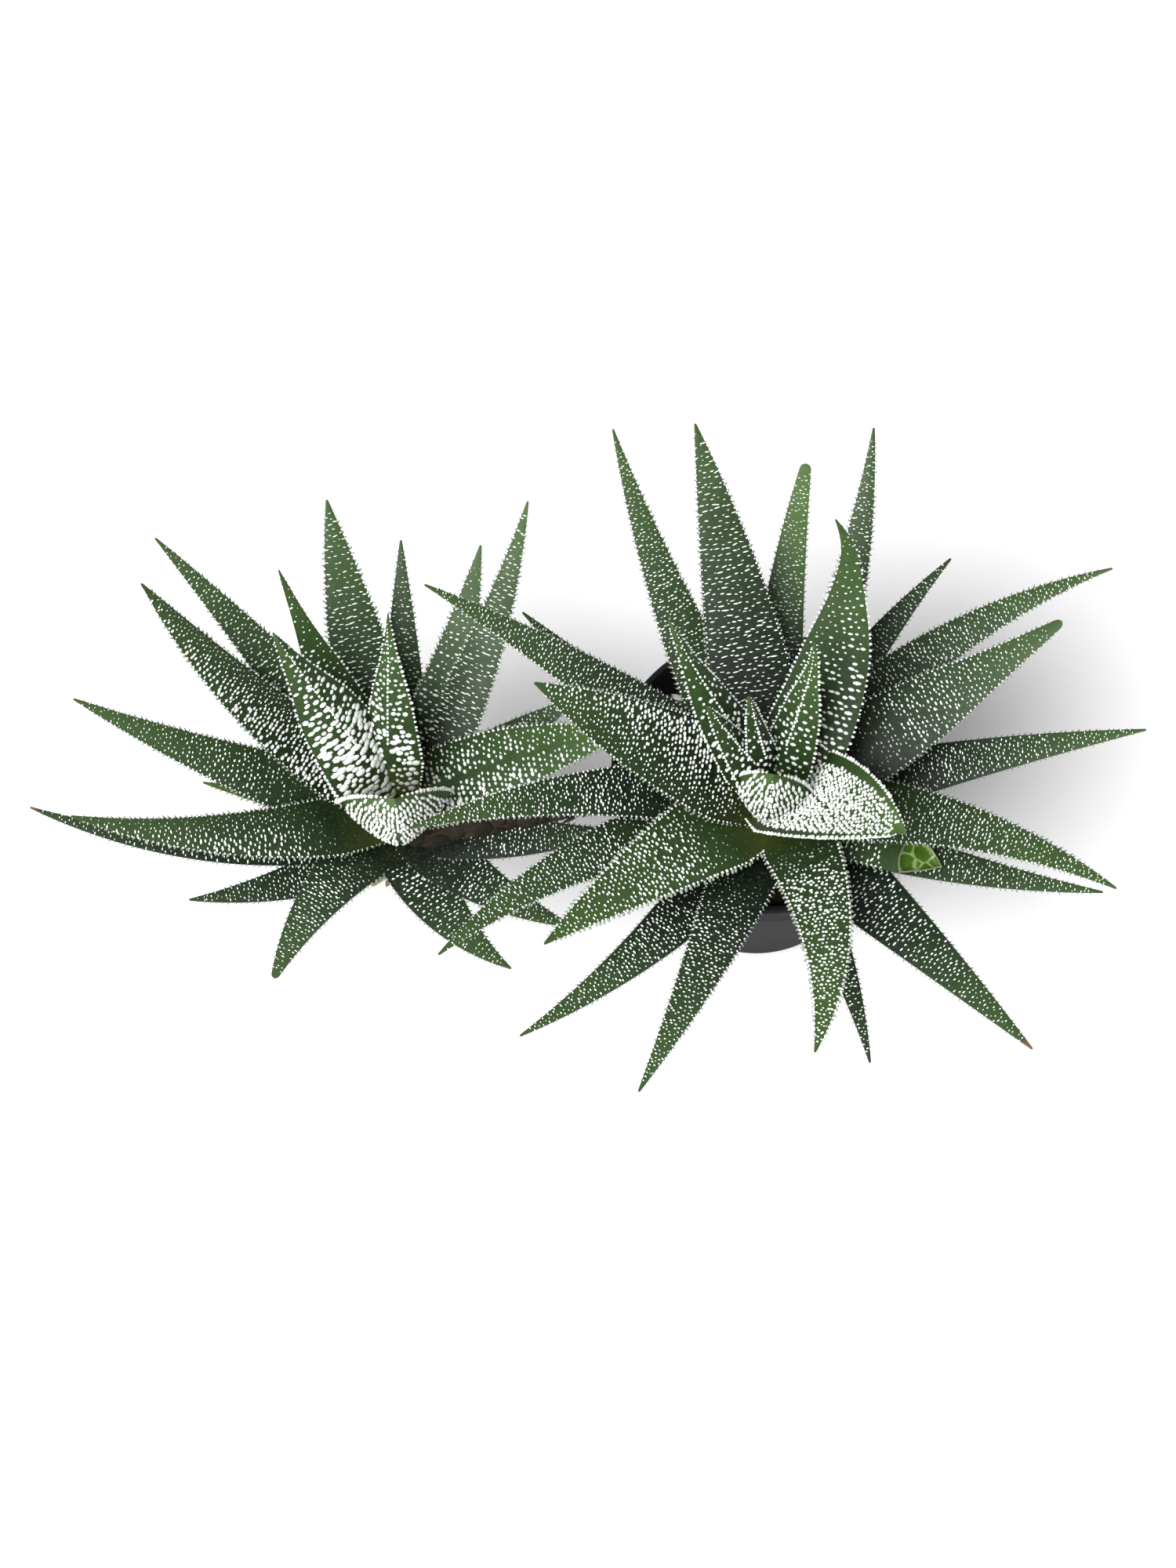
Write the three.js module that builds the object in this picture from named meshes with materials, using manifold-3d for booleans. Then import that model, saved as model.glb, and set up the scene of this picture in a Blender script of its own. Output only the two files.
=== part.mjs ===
// A zebra haworthia in its nursery pot: two rosettes on one rooted clump, the smaller one leaning over
// the rim. Millimetres, +Z up. The origin is the middle of the pot's flat base, and +X runs to the right
// of the clump's front.

import * as THREE from "three";
import { mergeVertices } from "three/addons/utils/BufferGeometryUtils.js";
import Module from "manifold-3d";

const wasm = await Module();
wasm.setup();

// Driving dimensions of the pot
const POT_HEIGHT = 57;
const RIM_RADIUS = 35;
const RIM_BAND_HEIGHT = 9;
const RIM_STEP = 1.6;
const RIM_DRAFT = 0.4;
const LIP_CHAMFER = 0.5;
const BASE_RADIUS = 25;
const BASE_CHAMFER = 1;
const POT_WALL = 1.4;
const POT_FLOOR = 1.8;
const POT_SIDES = 40;
const DRAIN_HOLES = 6;
const DRAIN_HOLE_RADIUS = 3;
const DRAIN_HOLE_SIDES = 16;
const DRAIN_CIRCLE_RADIUS = 18;
const DRAIN_DRILL_LENGTH = 8;

// Driving dimensions of the soil
const SEAT_GAP = 0.3;
const SOIL_TOP = 49.5;
const SOIL_EDGE_DROP = 3;
const SOIL_RINGS = 6;
const SOIL_FIRST_RING = 0.4;
const SOIL_SPOKES = 26;
const SOIL_WAVES = [
  { height: 0.9, perMillimetre: 2.1, perTurn: 5 },
  { height: 0.54, perMillimetre: 1.3, perTurn: -9 },
];

// Driving dimensions of a leaf
const LEAF_RINGS = 16;
const LEAF_START_RADIUS = 2;
const BASE_WIDTH_SHARE = 0.72;
const FULL_WIDTH_AT = 0.2;
const LEAF_TAPER = 1.35;
const THICKNESS_SHARE = 0.24;
const THINNEST = 0.8;

// The cross section of a leaf, as shares of its half width and of its thickness, and the keel's place in it
const FACE_AT = 0.4;
const FACE_RISE = 0.14;
const FLANK_AT = 0.5;
const FLANK_DEPTH = 0.48;
const KEEL_DEPTH = 0.84;
const KEEL_POINT = 5;

// Teeth and tubercles, larger than life, that shrink where a leaf is narrower than its full relief width
const TOOTH = 0.7;
const TUBERCLE = 0.5;
const FULL_RELIEF_WIDTH = 16.5;

// The slanting break of a broken leaf: how far its plane leans back, and a block that takes the end away
const BREAK_LEAN = 66;
const BREAK_BLOCK = 40;

const STEM_SIDES = 12;

const point = (x, y, z) => new THREE.Vector3(x, y, z);
const radians = THREE.MathUtils.degToRad;
const mix = THREE.MathUtils.lerp;

const finishes = {
  leaf: new THREE.MeshStandardMaterial({ color: 0x3c5a40, roughness: 0.55, metalness: 0 }),
  pot: new THREE.MeshStandardMaterial({ color: 0x2b2c31, roughness: 0.6, metalness: 0 }),
  soil: new THREE.MeshStandardMaterial({ color: 0x2e2118, roughness: 1, metalness: 0 }),
};

// The two heads. A crown is the growing point, an axis is the way that the head faces, and a stem runs
// from inside the soil to the crown as points with a radius at each. Each leaf is written from its own
// look: compass is its heading at the base seen from above (0 is +X, 90 is +Y), sweep is how far that
// heading turns by the tip, rise is its slope at the base and at the tip, drop is how far below the crown
// it leaves the stem, a higher taper keeps it broad for longer, start is how far out from the stem's
// middle it begins, roll turns it about its own midline, so that at 180 its keel is on top, cup is how far
// its margins curl up as a share of its half width, and cutAt is the share of its length where a broken
// leaf ends.
const rightHead = {
  crown: point(1, -15.3, 86),
  axis: point(0.02, -0.04, 1),
  stem: [
    [point(-2, -8, 36), 5],
    [point(-1, -10.5, 49), 6.5],
    [point(0, -13, 60), 9],
    [point(0.6, -14.4, 74), 8.5],
    [point(1, -15.3, 83), 5],
  ],
  leaves: [
    // the lowest, dark leaves, spread over the rim
    { compass: 88, sweep: -10, rise: [22, 18], length: 78, width: 15, drop: 20 },
    { compass: 62, sweep: -18, rise: [14, 10], length: 71, width: 14, drop: 22 },
    { compass: 11, sweep: -10, rise: [14, 18], length: 84, width: 17, drop: 16, taper: 1.25 },
    { compass: -26, sweep: 14, rise: [8, 14], length: 76, width: 14, drop: 16 },
    { compass: -46.5, sweep: -4, rise: [8, 12], length: 82, width: 21, drop: 16, taper: 1.2 },
    { compass: -64, sweep: -18, rise: [12, 10], length: 66, width: 11, drop: 20 },
    { compass: -124, sweep: -20, rise: [8, 18], length: 82, width: 17, drop: 18, taper: 1.2 },
    { compass: 146.5, sweep: -5, rise: [16, 20], length: 70, width: 14, drop: 20 },
    { compass: -160, sweep: 4, rise: [10, 14], length: 68, width: 14, drop: 20 },
    // the spreading leaves
    { compass: 121, sweep: -13, rise: [20, 30], length: 90, width: 18, drop: 15, taper: 1.15 },
    { compass: 63.5, sweep: 22, rise: [20, 28], length: 87, width: 15, drop: 16 },
    { compass: 50.5, sweep: -42, rise: [14, 20], length: 93, width: 18, drop: 15, taper: 1.15 },
    { compass: -7, sweep: -33, rise: [18, 18], length: 82, width: 19, drop: 14, taper: 1.3 },
    { compass: -109, sweep: -8, rise: [14, 10], length: 78, width: 18, drop: 16, taper: 1.25 },
    { compass: -165, sweep: 34, rise: [14, 14], length: 87, width: 17, drop: 14 },
    { compass: 147, sweep: 14, rise: [20, 24], length: 91, width: 17, drop: 14 },
    { compass: -20, sweep: 0, rise: [6, 6], length: 72, width: 16, drop: 14, cutAt: 0.54 },
    // the upper leaves
    { compass: 100, sweep: 7, rise: [26, 30], length: 84, width: 22, drop: 11, taper: 1.7 },
    { compass: 24, sweep: 3, rise: [22, 26], length: 74, width: 22, drop: 10, taper: 1.7 },
    { compass: -64, sweep: -44, rise: [22, 18], length: 72, width: 19, drop: 11, taper: 1.35 },
    { compass: -143.5, sweep: 10, rise: [20, 24], length: 70, width: 24, drop: 10 },
    { compass: 180, sweep: 26, rise: [18, 16], length: 84, width: 17, drop: 10 },
    { compass: 172, sweep: -4, rise: [36, 42], length: 66, width: 24, drop: 7, taper: 2.0 },
    // the young leaves of the heart
    { compass: 50, sweep: 48, rise: [44, 50], length: 68, width: 20, drop: 6, taper: 2 },
    { compass: 144, sweep: -14, rise: [52, 60], length: 54, width: 17, drop: 5, roll: 190 },
    { compass: 162, sweep: -4, rise: [62, 70], length: 36, width: 13, drop: 3, roll: 180 },
    { compass: 130, sweep: 0, rise: [72, 78], length: 33, width: 9, drop: 2, roll: 180 },
    { compass: 56, sweep: 24, rise: [64, 72], length: 45, width: 15, drop: 4, roll: 160 },
    { compass: -42, sweep: 0, rise: [50, 44], length: 49, width: 26, drop: 6, taper: 2.4, cup: 0.3 },
    {
      compass: -100, sweep: 0, rise: [80, 92], length: 28,
      width: 18, drop: 6, start: 5, taper: 2.4, cup: 0.5,
    },
  ],
};

const leftHead = {
  crown: point(-85, -8.3, 64),
  axis: point(-0.2, 0.16, 0.97),
  stem: [
    [point(-13, -4.6, 36), 4.2],
    [point(-19, -6, 51), 4.8],
    [point(-33, -8.4, 66.5), 4.8],
    [point(-60, -11, 59), 5.5],
    [point(-78, -11.6, 52), 8],
    [point(-84, -8.8, 61), 5],
  ],
  leaves: [
    // the lowest, dark leaves
    { compass: 91, sweep: 0, rise: [22, 26], length: 63, width: 14, drop: 14 },
    { compass: -160.5, sweep: -37, rise: [10, 18], length: 86, width: 12, drop: 15 },
    { compass: -144.5, sweep: -28, rise: [12, 10], length: 53, width: 15, drop: 18 },
    { compass: -139, sweep: 30, rise: [10, 0], length: 48, width: 17, drop: 13 },
    { compass: -78, sweep: 46, rise: [12, 6], length: 46, width: 18, drop: 13 },
    { compass: -50.5, sweep: 28, rise: [12, 12], length: 49, width: 16, drop: 12 },
    { compass: -22, sweep: 28, rise: [18, 12], length: 51, width: 17, drop: 12 },
    { compass: 32, sweep: -8, rise: [24, 24], length: 48, width: 18, drop: 12 },
    { compass: 173, sweep: 0, rise: [10, 20], length: 46, width: 9, drop: 15 },
    // the spreading leaves
    { compass: 132, sweep: 8, rise: [20, 28], length: 83, width: 17, drop: 11, taper: 1.25 },
    { compass: 66.5, sweep: 11, rise: [28, 30], length: 63, width: 20, drop: 11, taper: 1.2 },
    { compass: 55.5, sweep: 20, rise: [26, 34], length: 76, width: 15, drop: 10 },
    { compass: 170, sweep: -9, rise: [14, 24], length: 78, width: 19, drop: 11, taper: 1.2 },
    { compass: -158, sweep: -28.5, rise: [18, 22], length: 76, width: 17, drop: 9 },
    { compass: 15, sweep: -4, rise: [26, 26], length: 50, width: 14, drop: 9 },
    // the upper leaves
    { compass: 107, sweep: -5, rise: [30, 34], length: 71, width: 18, drop: 8, taper: 2 },
    { compass: 155, sweep: -20, rise: [26, 38], length: 78, width: 20, drop: 8, taper: 2, roll: 25 },
    { compass: 17, sweep: -18, rise: [30, 20], length: 56, width: 20, drop: 7, taper: 2.3 },
    // the young leaves of the heart
    { compass: 127.5, sweep: -8, rise: [44, 54], length: 64, width: 16, drop: 6 },
    { compass: 90, sweep: 0, rise: [60, 66], length: 52, width: 16, drop: 4, roll: 155 },
    { compass: 143, sweep: -6, rise: [54, 60], length: 56, width: 20, drop: 4, taper: 2, roll: 180 },
    {
      compass: -84, sweep: 0, rise: [76, 82], length: 34,
      width: 26, drop: 5, start: 6, taper: 2.4, cup: 0.45,
    },
  ],
};

// Turns a geometry into a closed solid for joining and cutting.
function solidFrom(geometry) {
  const plain = new THREE.BufferGeometry();
  plain.setAttribute("position", geometry.getAttribute("position"));
  if (geometry.index) plain.setIndex(geometry.index);
  const merged = mergeVertices(plain, 1e-4);
  return new wasm.Manifold(
    new wasm.Mesh({
      numProp: 3,
      vertProperties: merged.getAttribute("position").array,
      triVerts: new Uint32Array(merged.index.array),
    }),
  );
}

// Turns a solid back into a geometry with flat faces.
function geometryFrom(solid) {
  const mesh = solid.getMesh();
  const corners = new Float32Array(mesh.numVert * 3);
  for (let i = 0; i < mesh.numVert; i++) {
    corners.set(mesh.vertProperties.subarray(i * mesh.numProp, i * mesh.numProp + 3), i * 3);
  }
  const geometry = new THREE.BufferGeometry();
  geometry.setAttribute("position", new THREE.BufferAttribute(corners, 3));
  geometry.setIndex(new THREE.BufferAttribute(mesh.triVerts, 1));
  geometry.computeVertexNormals();
  return geometry;
}

// Closes a row of equal rings of points into one body, with a fan on the first ring and a point or a fan
// on the last.
function loft(rings, tip) {
  const sides = rings[0].length;
  const corners = rings.flat();
  const faces = [];
  for (let i = 0; i + 1 < rings.length; i++) {
    for (let j = 0; j < sides; j++) {
      const a = i * sides + j;
      const b = i * sides + ((j + 1) % sides);
      faces.push(a, b, b + sides, a, b + sides, a + sides);
    }
  }
  for (let j = 1; j + 1 < sides; j++) faces.push(0, j + 1, j);
  const last = (rings.length - 1) * sides;
  if (tip) {
    corners.push(tip);
    for (let j = 0; j < sides; j++) faces.push(last + j, last + ((j + 1) % sides), corners.length - 1);
  } else {
    for (let j = 1; j + 1 < sides; j++) faces.push(last, last + j, last + j + 1);
  }
  const geometry = new THREE.BufferGeometry().setFromPoints(corners);
  geometry.setIndex(faces);
  return geometry;
}

// The width of a leaf at a share s of its length: a clasping base, a broad lower half and a long sharp tip.
function leafWidth(leaf, s) {
  const swell = mix(BASE_WIDTH_SHARE, 1, Math.min(1, s / FULL_WIDTH_AT));
  return Math.max(THINNEST, leaf.width * swell * (1 - s ** (leaf.taper ?? LEAF_TAPER)));
}

// One ring of a leaf: flat above, keeled below, with two toothed margins and tubercles that stand by turns
// on its faces.
function leafRing(leaf, s, row, centre, side, normal) {
  const width = leafWidth(leaf, s);
  const half = width / 2;
  const thick = Math.max(THINNEST, width * THICKNESS_SHARE);
  const relief = Math.min(1, width / FULL_RELIEF_WIDTH);
  const odd = row % 2;
  const even = 1 - odd;
  const bump = TUBERCLE * relief;
  const reach = half + TOOTH * relief * odd;
  const curl = (leaf.cup ?? 0) * half;
  const face = thick * FACE_RISE + curl * FACE_AT ** 2;
  const flank = curl * FLANK_AT ** 2 - thick * FLANK_DEPTH - bump * odd;
  const section = [
    [reach, curl],
    [half * FACE_AT, face + bump * even],
    [-half * FACE_AT, face + bump * odd],
    [-reach, curl],
    [-half * FLANK_AT, flank],
    [0, -thick * KEEL_DEPTH - bump * even],
    [half * FLANK_AT, flank],
  ];
  return section.map(([across, up]) =>
    centre.clone().addScaledVector(side, across).addScaledVector(normal, up),
  );
}

// Takes the end off a broken leaf along a slanting plane.
function broken(leaf, end, along, normal) {
  const lean = radians(BREAK_LEAN);
  const facing = along.clone().multiplyScalar(Math.cos(lean)).addScaledVector(normal, Math.sin(lean));
  const block = new THREE.BoxGeometry(BREAK_BLOCK, BREAK_BLOCK, BREAK_BLOCK)
    .translate(0, 0, BREAK_BLOCK / 2)
    .applyQuaternion(new THREE.Quaternion().setFromUnitVectors(point(0, 0, 1), facing))
    .translate(end.x, end.y, end.z);
  return leaf.subtract(solidFrom(block));
}

// One leaf as a closed solid, grown from the stem along its own curved midline.
function leafSolid(leaf, head) {
  const end = leaf.cutAt ?? 1;
  const step = leaf.length / LEAF_RINGS;
  const axis = head.axis.clone().normalize();
  const heading = (s) => radians(leaf.compass + leaf.sweep * s);
  const outward = point(Math.cos(heading(0)), Math.sin(heading(0)), 0);
  const start = leaf.start ?? LEAF_START_RADIUS;
  const centre = head.crown.clone().addScaledVector(axis, -leaf.drop).addScaledVector(outward, start);
  const rings = [];
  let along, normal;
  for (let row = 0; row < LEAF_RINGS * end; row++) {
    const s = row / LEAF_RINGS;
    const turn = heading(s);
    const slope = radians(mix(leaf.rise[0], leaf.rise[1], s));
    along = point(Math.cos(slope) * Math.cos(turn), Math.cos(slope) * Math.sin(turn), Math.sin(slope));
    const side = point(-Math.sin(turn), Math.cos(turn), 0).applyAxisAngle(along, radians(leaf.roll ?? 0));
    normal = along.clone().cross(side);
    rings.push(leafRing(leaf, s, row, centre, side, normal));
    centre.addScaledVector(along, step);
  }
  const whole = solidFrom(loft(rings, end < 1 ? null : centre.clone()));
  return end < 1 ? broken(whole, rings.at(-1)[KEEL_POINT], along, normal) : whole;
}

// A stem as a closed solid through its points, widened by a clearance when it is used to cut its hole.
function stemSolid(stem, clearance) {
  const rings = stem.map(([centre, radius], i) => {
    const before = stem[Math.max(0, i - 1)][0];
    const after = stem[Math.min(stem.length - 1, i + 1)][0];
    const along = after.clone().sub(before).normalize();
    const side = point(0, 1, 0).cross(along).normalize();
    const up = along.clone().cross(side);
    const sink = i === 0 ? clearance : 0;
    return Array.from({ length: STEM_SIDES }, (_, k) => {
      const turn = (2 * Math.PI * k) / STEM_SIDES;
      return centre
        .clone()
        .addScaledVector(along, -sink)
        .addScaledVector(side, (radius + clearance) * Math.cos(turn))
        .addScaledVector(up, (radius + clearance) * Math.sin(turn));
    });
  });
  return solidFrom(loft(rings, null));
}

// One head: its stem and leaves joined. Only the largest body is kept, which fills hollows and drops
// loose scraps.
function headSolid(head) {
  const joined = head.leaves.reduce((sum, leaf) => sum.add(leafSolid(leaf, head)), stemSolid(head.stem, 0));
  return joined.decompose().sort((a, b) => b.volume() - a.volume())[0];
}

// The inner radius of the pot's tapered body at a height above its floor.
function innerRadius(height) {
  const foot = BASE_RADIUS - POT_WALL;
  const top = RIM_RADIUS - RIM_STEP - RIM_DRAFT - POT_WALL;
  return mix(foot, top, (height - POT_FLOOR) / (POT_HEIGHT - RIM_BAND_HEIGHT - POT_FLOOR));
}

// The pot: a thin tapered cup with a straight band under the rim and a ring of drainage holes.
function potSolid() {
  const bandFoot = POT_HEIGHT - RIM_BAND_HEIGHT;
  const profile = [
    [0, 0],
    [BASE_RADIUS - BASE_CHAMFER, 0],
    [BASE_RADIUS, BASE_CHAMFER],
    [innerRadius(bandFoot) + POT_WALL, bandFoot],
    [RIM_RADIUS - RIM_DRAFT, bandFoot],
    [RIM_RADIUS, POT_HEIGHT - LIP_CHAMFER],
    [RIM_RADIUS - LIP_CHAMFER, POT_HEIGHT],
    [RIM_RADIUS - POT_WALL, POT_HEIGHT],
    [RIM_RADIUS - POT_WALL - RIM_DRAFT, bandFoot + RIM_STEP],
    [innerRadius(bandFoot), bandFoot],
    [innerRadius(POT_FLOOR), POT_FLOOR],
    [0, POT_FLOOR],
  ].map(([r, z]) => new THREE.Vector2(r, z));
  let pot = solidFrom(new THREE.LatheGeometry(profile, POT_SIDES).rotateX(Math.PI / 2));
  for (let i = 0; i < DRAIN_HOLES; i++) {
    const turn = (2 * Math.PI * i) / DRAIN_HOLES;
    const drill = new THREE.CylinderGeometry(
      DRAIN_HOLE_RADIUS,
      DRAIN_HOLE_RADIUS,
      DRAIN_DRILL_LENGTH,
      DRAIN_HOLE_SIDES,
    ).rotateX(Math.PI / 2);
    drill.translate(DRAIN_CIRCLE_RADIUS * Math.cos(turn), DRAIN_CIRCLE_RADIUS * Math.sin(turn), 0);
    pot = pot.subtract(solidFrom(drill));
  }
  return pot;
}

// The soil: a plug that fills the pot with a crumbly top, and a plain hole for each stem.
function soilSolid() {
  const foot = POT_FLOOR + SEAT_GAP;
  const edge = SOIL_TOP - SOIL_EDGE_DROP;
  const edgeRadius = innerRadius(edge) - 2 * SEAT_GAP;
  const crumb = (radius, turn) =>
    SOIL_WAVES.reduce(
      (sum, wave) => sum + wave.height * Math.sin(wave.perMillimetre * radius + wave.perTurn * turn),
      0,
    );
  const ring = (radius, height) =>
    Array.from({ length: SOIL_SPOKES }, (_, k) => {
      const turn = (2 * Math.PI * k) / SOIL_SPOKES;
      return point(radius * Math.cos(turn), radius * Math.sin(turn), height(turn));
    });
  const rings = [ring(innerRadius(foot) - 2 * SEAT_GAP, () => foot), ring(edgeRadius, () => edge)];
  for (let i = 0; i < SOIL_RINGS; i++) {
    const radius = edgeRadius * (1 - (i + SOIL_FIRST_RING) / SOIL_RINGS);
    rings.push(ring(radius, (turn) => SOIL_TOP + crumb(radius, turn)));
  }
  const plug = solidFrom(loft(rings, point(0, 0, SOIL_TOP)));
  return plug.subtract(stemSolid(rightHead.stem, SEAT_GAP)).subtract(stemSolid(leftHead.stem, SEAT_GAP));
}

// Adds one named piece to the plant.
function addPiece(plant, name, solid, finish) {
  const mesh = new THREE.Mesh(geometryFrom(solid), finish);
  mesh.name = name;
  plant.add(mesh);
}

const plant = new THREE.Group();
addPiece(plant, "nursery_pot", potSolid(), finishes.pot);
addPiece(plant, "soil", soilSolid(), finishes.soil);
addPiece(plant, "rosette_right", headSolid(rightHead), finishes.leaf);
addPiece(plant, "rosette_left", headSolid(leftHead), finishes.leaf);

export default plant;
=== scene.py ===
"""A zebra haworthia in its nursery pot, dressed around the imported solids.

Sizes are in millimetres and are turned into metres where a mesh is written. The frame is the solids' own:
the origin is the middle of the pot's base, +Z is up and the photographed view looks along +Y, 68 degrees
downwards.
"""

from __future__ import annotations

import logging
import math
from collections.abc import Iterator, Sequence
from contextlib import contextmanager
from dataclasses import dataclass, field, replace
from enum import Enum

import bpy
import numpy as np
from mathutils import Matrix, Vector, noise


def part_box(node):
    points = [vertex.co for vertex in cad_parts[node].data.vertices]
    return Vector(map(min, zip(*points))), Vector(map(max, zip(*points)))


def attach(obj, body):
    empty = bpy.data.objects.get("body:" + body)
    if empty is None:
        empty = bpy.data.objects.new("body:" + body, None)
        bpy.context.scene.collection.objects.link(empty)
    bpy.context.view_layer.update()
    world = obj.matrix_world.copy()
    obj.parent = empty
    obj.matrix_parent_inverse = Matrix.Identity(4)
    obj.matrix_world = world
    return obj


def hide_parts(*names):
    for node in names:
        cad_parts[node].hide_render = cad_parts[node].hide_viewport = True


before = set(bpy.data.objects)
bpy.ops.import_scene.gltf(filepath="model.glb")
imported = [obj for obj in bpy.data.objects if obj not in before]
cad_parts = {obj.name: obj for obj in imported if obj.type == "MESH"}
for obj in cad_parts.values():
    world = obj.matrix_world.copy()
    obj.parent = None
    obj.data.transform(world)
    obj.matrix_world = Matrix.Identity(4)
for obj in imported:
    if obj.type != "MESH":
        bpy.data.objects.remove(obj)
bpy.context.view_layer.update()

MM = 0.001
BODY = "root"
log = logging.getLogger("haworthia")

Colour = tuple[float, float, float]
Point = tuple[float, float, float]
Stem = list[tuple[Point, float]]


# Leaves, as on the solids


class Zone(Enum):
    """The ring of a rosette that a leaf belongs to."""

    LOWEST = "lowest"
    SPREADING = "spreading"
    UPPER = "upper"
    HEART = "heart"


@dataclass(frozen=True)
class Cover:
    """How tubercles stand on one face of a leaf.

    row_pitch and dot_pitch are the distances between rows and within a row, and across and along the size
    of one tubercle, all in millimetres. stretch lengthens some of them across the leaf. The leaf is
    smooth up to the share smooth_to of its length and bare from bare_from on, and a share missing of the
    places is empty. base_size and tip_size scale the tubercles along the leaf, lean makes them larger
    towards one margin, reach and keel_gap are the shares of the half width where they end and start, and
    jitter is how far a tubercle strays from its row, as a share of the pitch. vary is how much the sizes
    differ, and flat scales the height of all of them.
    """

    row_pitch: float
    dot_pitch: float
    across: float
    along: float
    stretch: float = 0.5
    smooth_to: float = 0.12
    bare_from: float = 0.95
    missing: float = 0.1
    base_size: float = 1.0
    tip_size: float = 0.6
    lean: float = 0.0
    reach: float = 0.88
    keel_gap: float = 0.0
    jitter: float = 0.17
    vary: float = 0.38
    flat: float = 1.0


FINE = Cover(1.02, 1.1, 0.72, 0.36, 0.5, smooth_to=0.36, bare_from=0.985, tip_size=0.75)
ROWS = Cover(1.15, 1.28, 0.84, 0.46, 0.6, smooth_to=0.2, bare_from=0.985)
BACK = Cover(1.5, 1.55, 0.95, 0.7, 0.3, smooth_to=0.05, bare_from=0.97)
DASHES = Cover(
    1.25, 1.6, 1.0, 0.42, 1.2, smooth_to=0.18, bare_from=0.985, missing=0.08, base_size=0.85, tip_size=0.7
)
BROAD = Cover(1.12, 1.3, 0.9, 0.52, 0.5, smooth_to=0.22, bare_from=0.97)
SPARSE = Cover(1.3, 1.5, 0.8, 0.5, 0.4, smooth_to=0.2, bare_from=0.9, missing=0.2)
LARGE = Cover(1.7, 1.8, 1.35, 0.95, 0.7, smooth_to=0.0, base_size=1.1, tip_size=0.4, flat=0.75)
SCALES = Cover(
    1.6, 1.8, 1.65, 1.3, 0.6, smooth_to=0.0, bare_from=0.92, missing=0.03, base_size=1.25, tip_size=0.4,
    flat=0.75,
)
STREAKS = Cover(
    0.88, 1.2, 1.12, 0.66, 0.3, smooth_to=0.0, bare_from=0.94, missing=0.02, tip_size=0.8, reach=0.8, vary=0.2
)
SHELL = Cover(
    2.6, 0.82, 0.84, 2.9, 0.0, smooth_to=0.0, bare_from=0.965, missing=0.0, tip_size=1.0, reach=0.98,
    keel_gap=0.03, jitter=0.05, vary=0.12,
)
SLENDER = replace(LARGE, row_pitch=1.55, dot_pitch=1.7, across=0.9, along=0.62, lean=-0.4)
CROWDED = replace(
    LARGE, row_pitch=1.5, dot_pitch=1.5, across=1.0, along=0.85, stretch=0.3, vary=0.45, keel_gap=0.1,
    base_size=1.4,
)
PARTED = replace(
    BROAD, row_pitch=1.3, dot_pitch=1.4, across=1.0, along=0.8, missing=0.04, smooth_to=0.0, lean=-0.3,
    keel_gap=0.09,
)


@dataclass(frozen=True)
class Leaf:
    """One leaf: the sizes that its solid has, and its look.

    compass is the way that it points at its base, sweep how far it turns from there to its tip, rise its
    slope at both ends and roll its turn about its own length, all in degrees. length, width and blunt, the
    width of the tip, are in millimetres, as are drop and start, which say how far below the crown and how
    far out it begins. A higher taper keeps it wide for longer, cut_at is the share of the length at which
    it is broken off, and cup raises its margins by that share of the half width.

    tone runs from 0, dark and bluish, to 1, a young light green, and tip_tone is the tone at the tip. The
    dark end also carries painted shade, for the lowest leaves that lie under the others. top and back are the
    tubercles of its two faces. dry is the share of the length that has withered at the tip. hook turns the
    tip further, in degrees, and nip is the share by which the leaf is drawn in towards it.
    """

    compass: float
    sweep: float
    rise: tuple[float, float]
    length: float
    width: float
    drop: float
    taper: float = 1.35
    start: float = 2.0
    cut_at: float = 1.0
    roll: float = 0.0
    cup: float = 0.0
    tone: float = 0.2
    tip_tone: float | None = None
    top: Cover = ROWS
    back: Cover = BACK
    dry: float = 0.0
    blunt: float = 0.5
    hook: float = 0.0
    nip: float = 0.0


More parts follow.
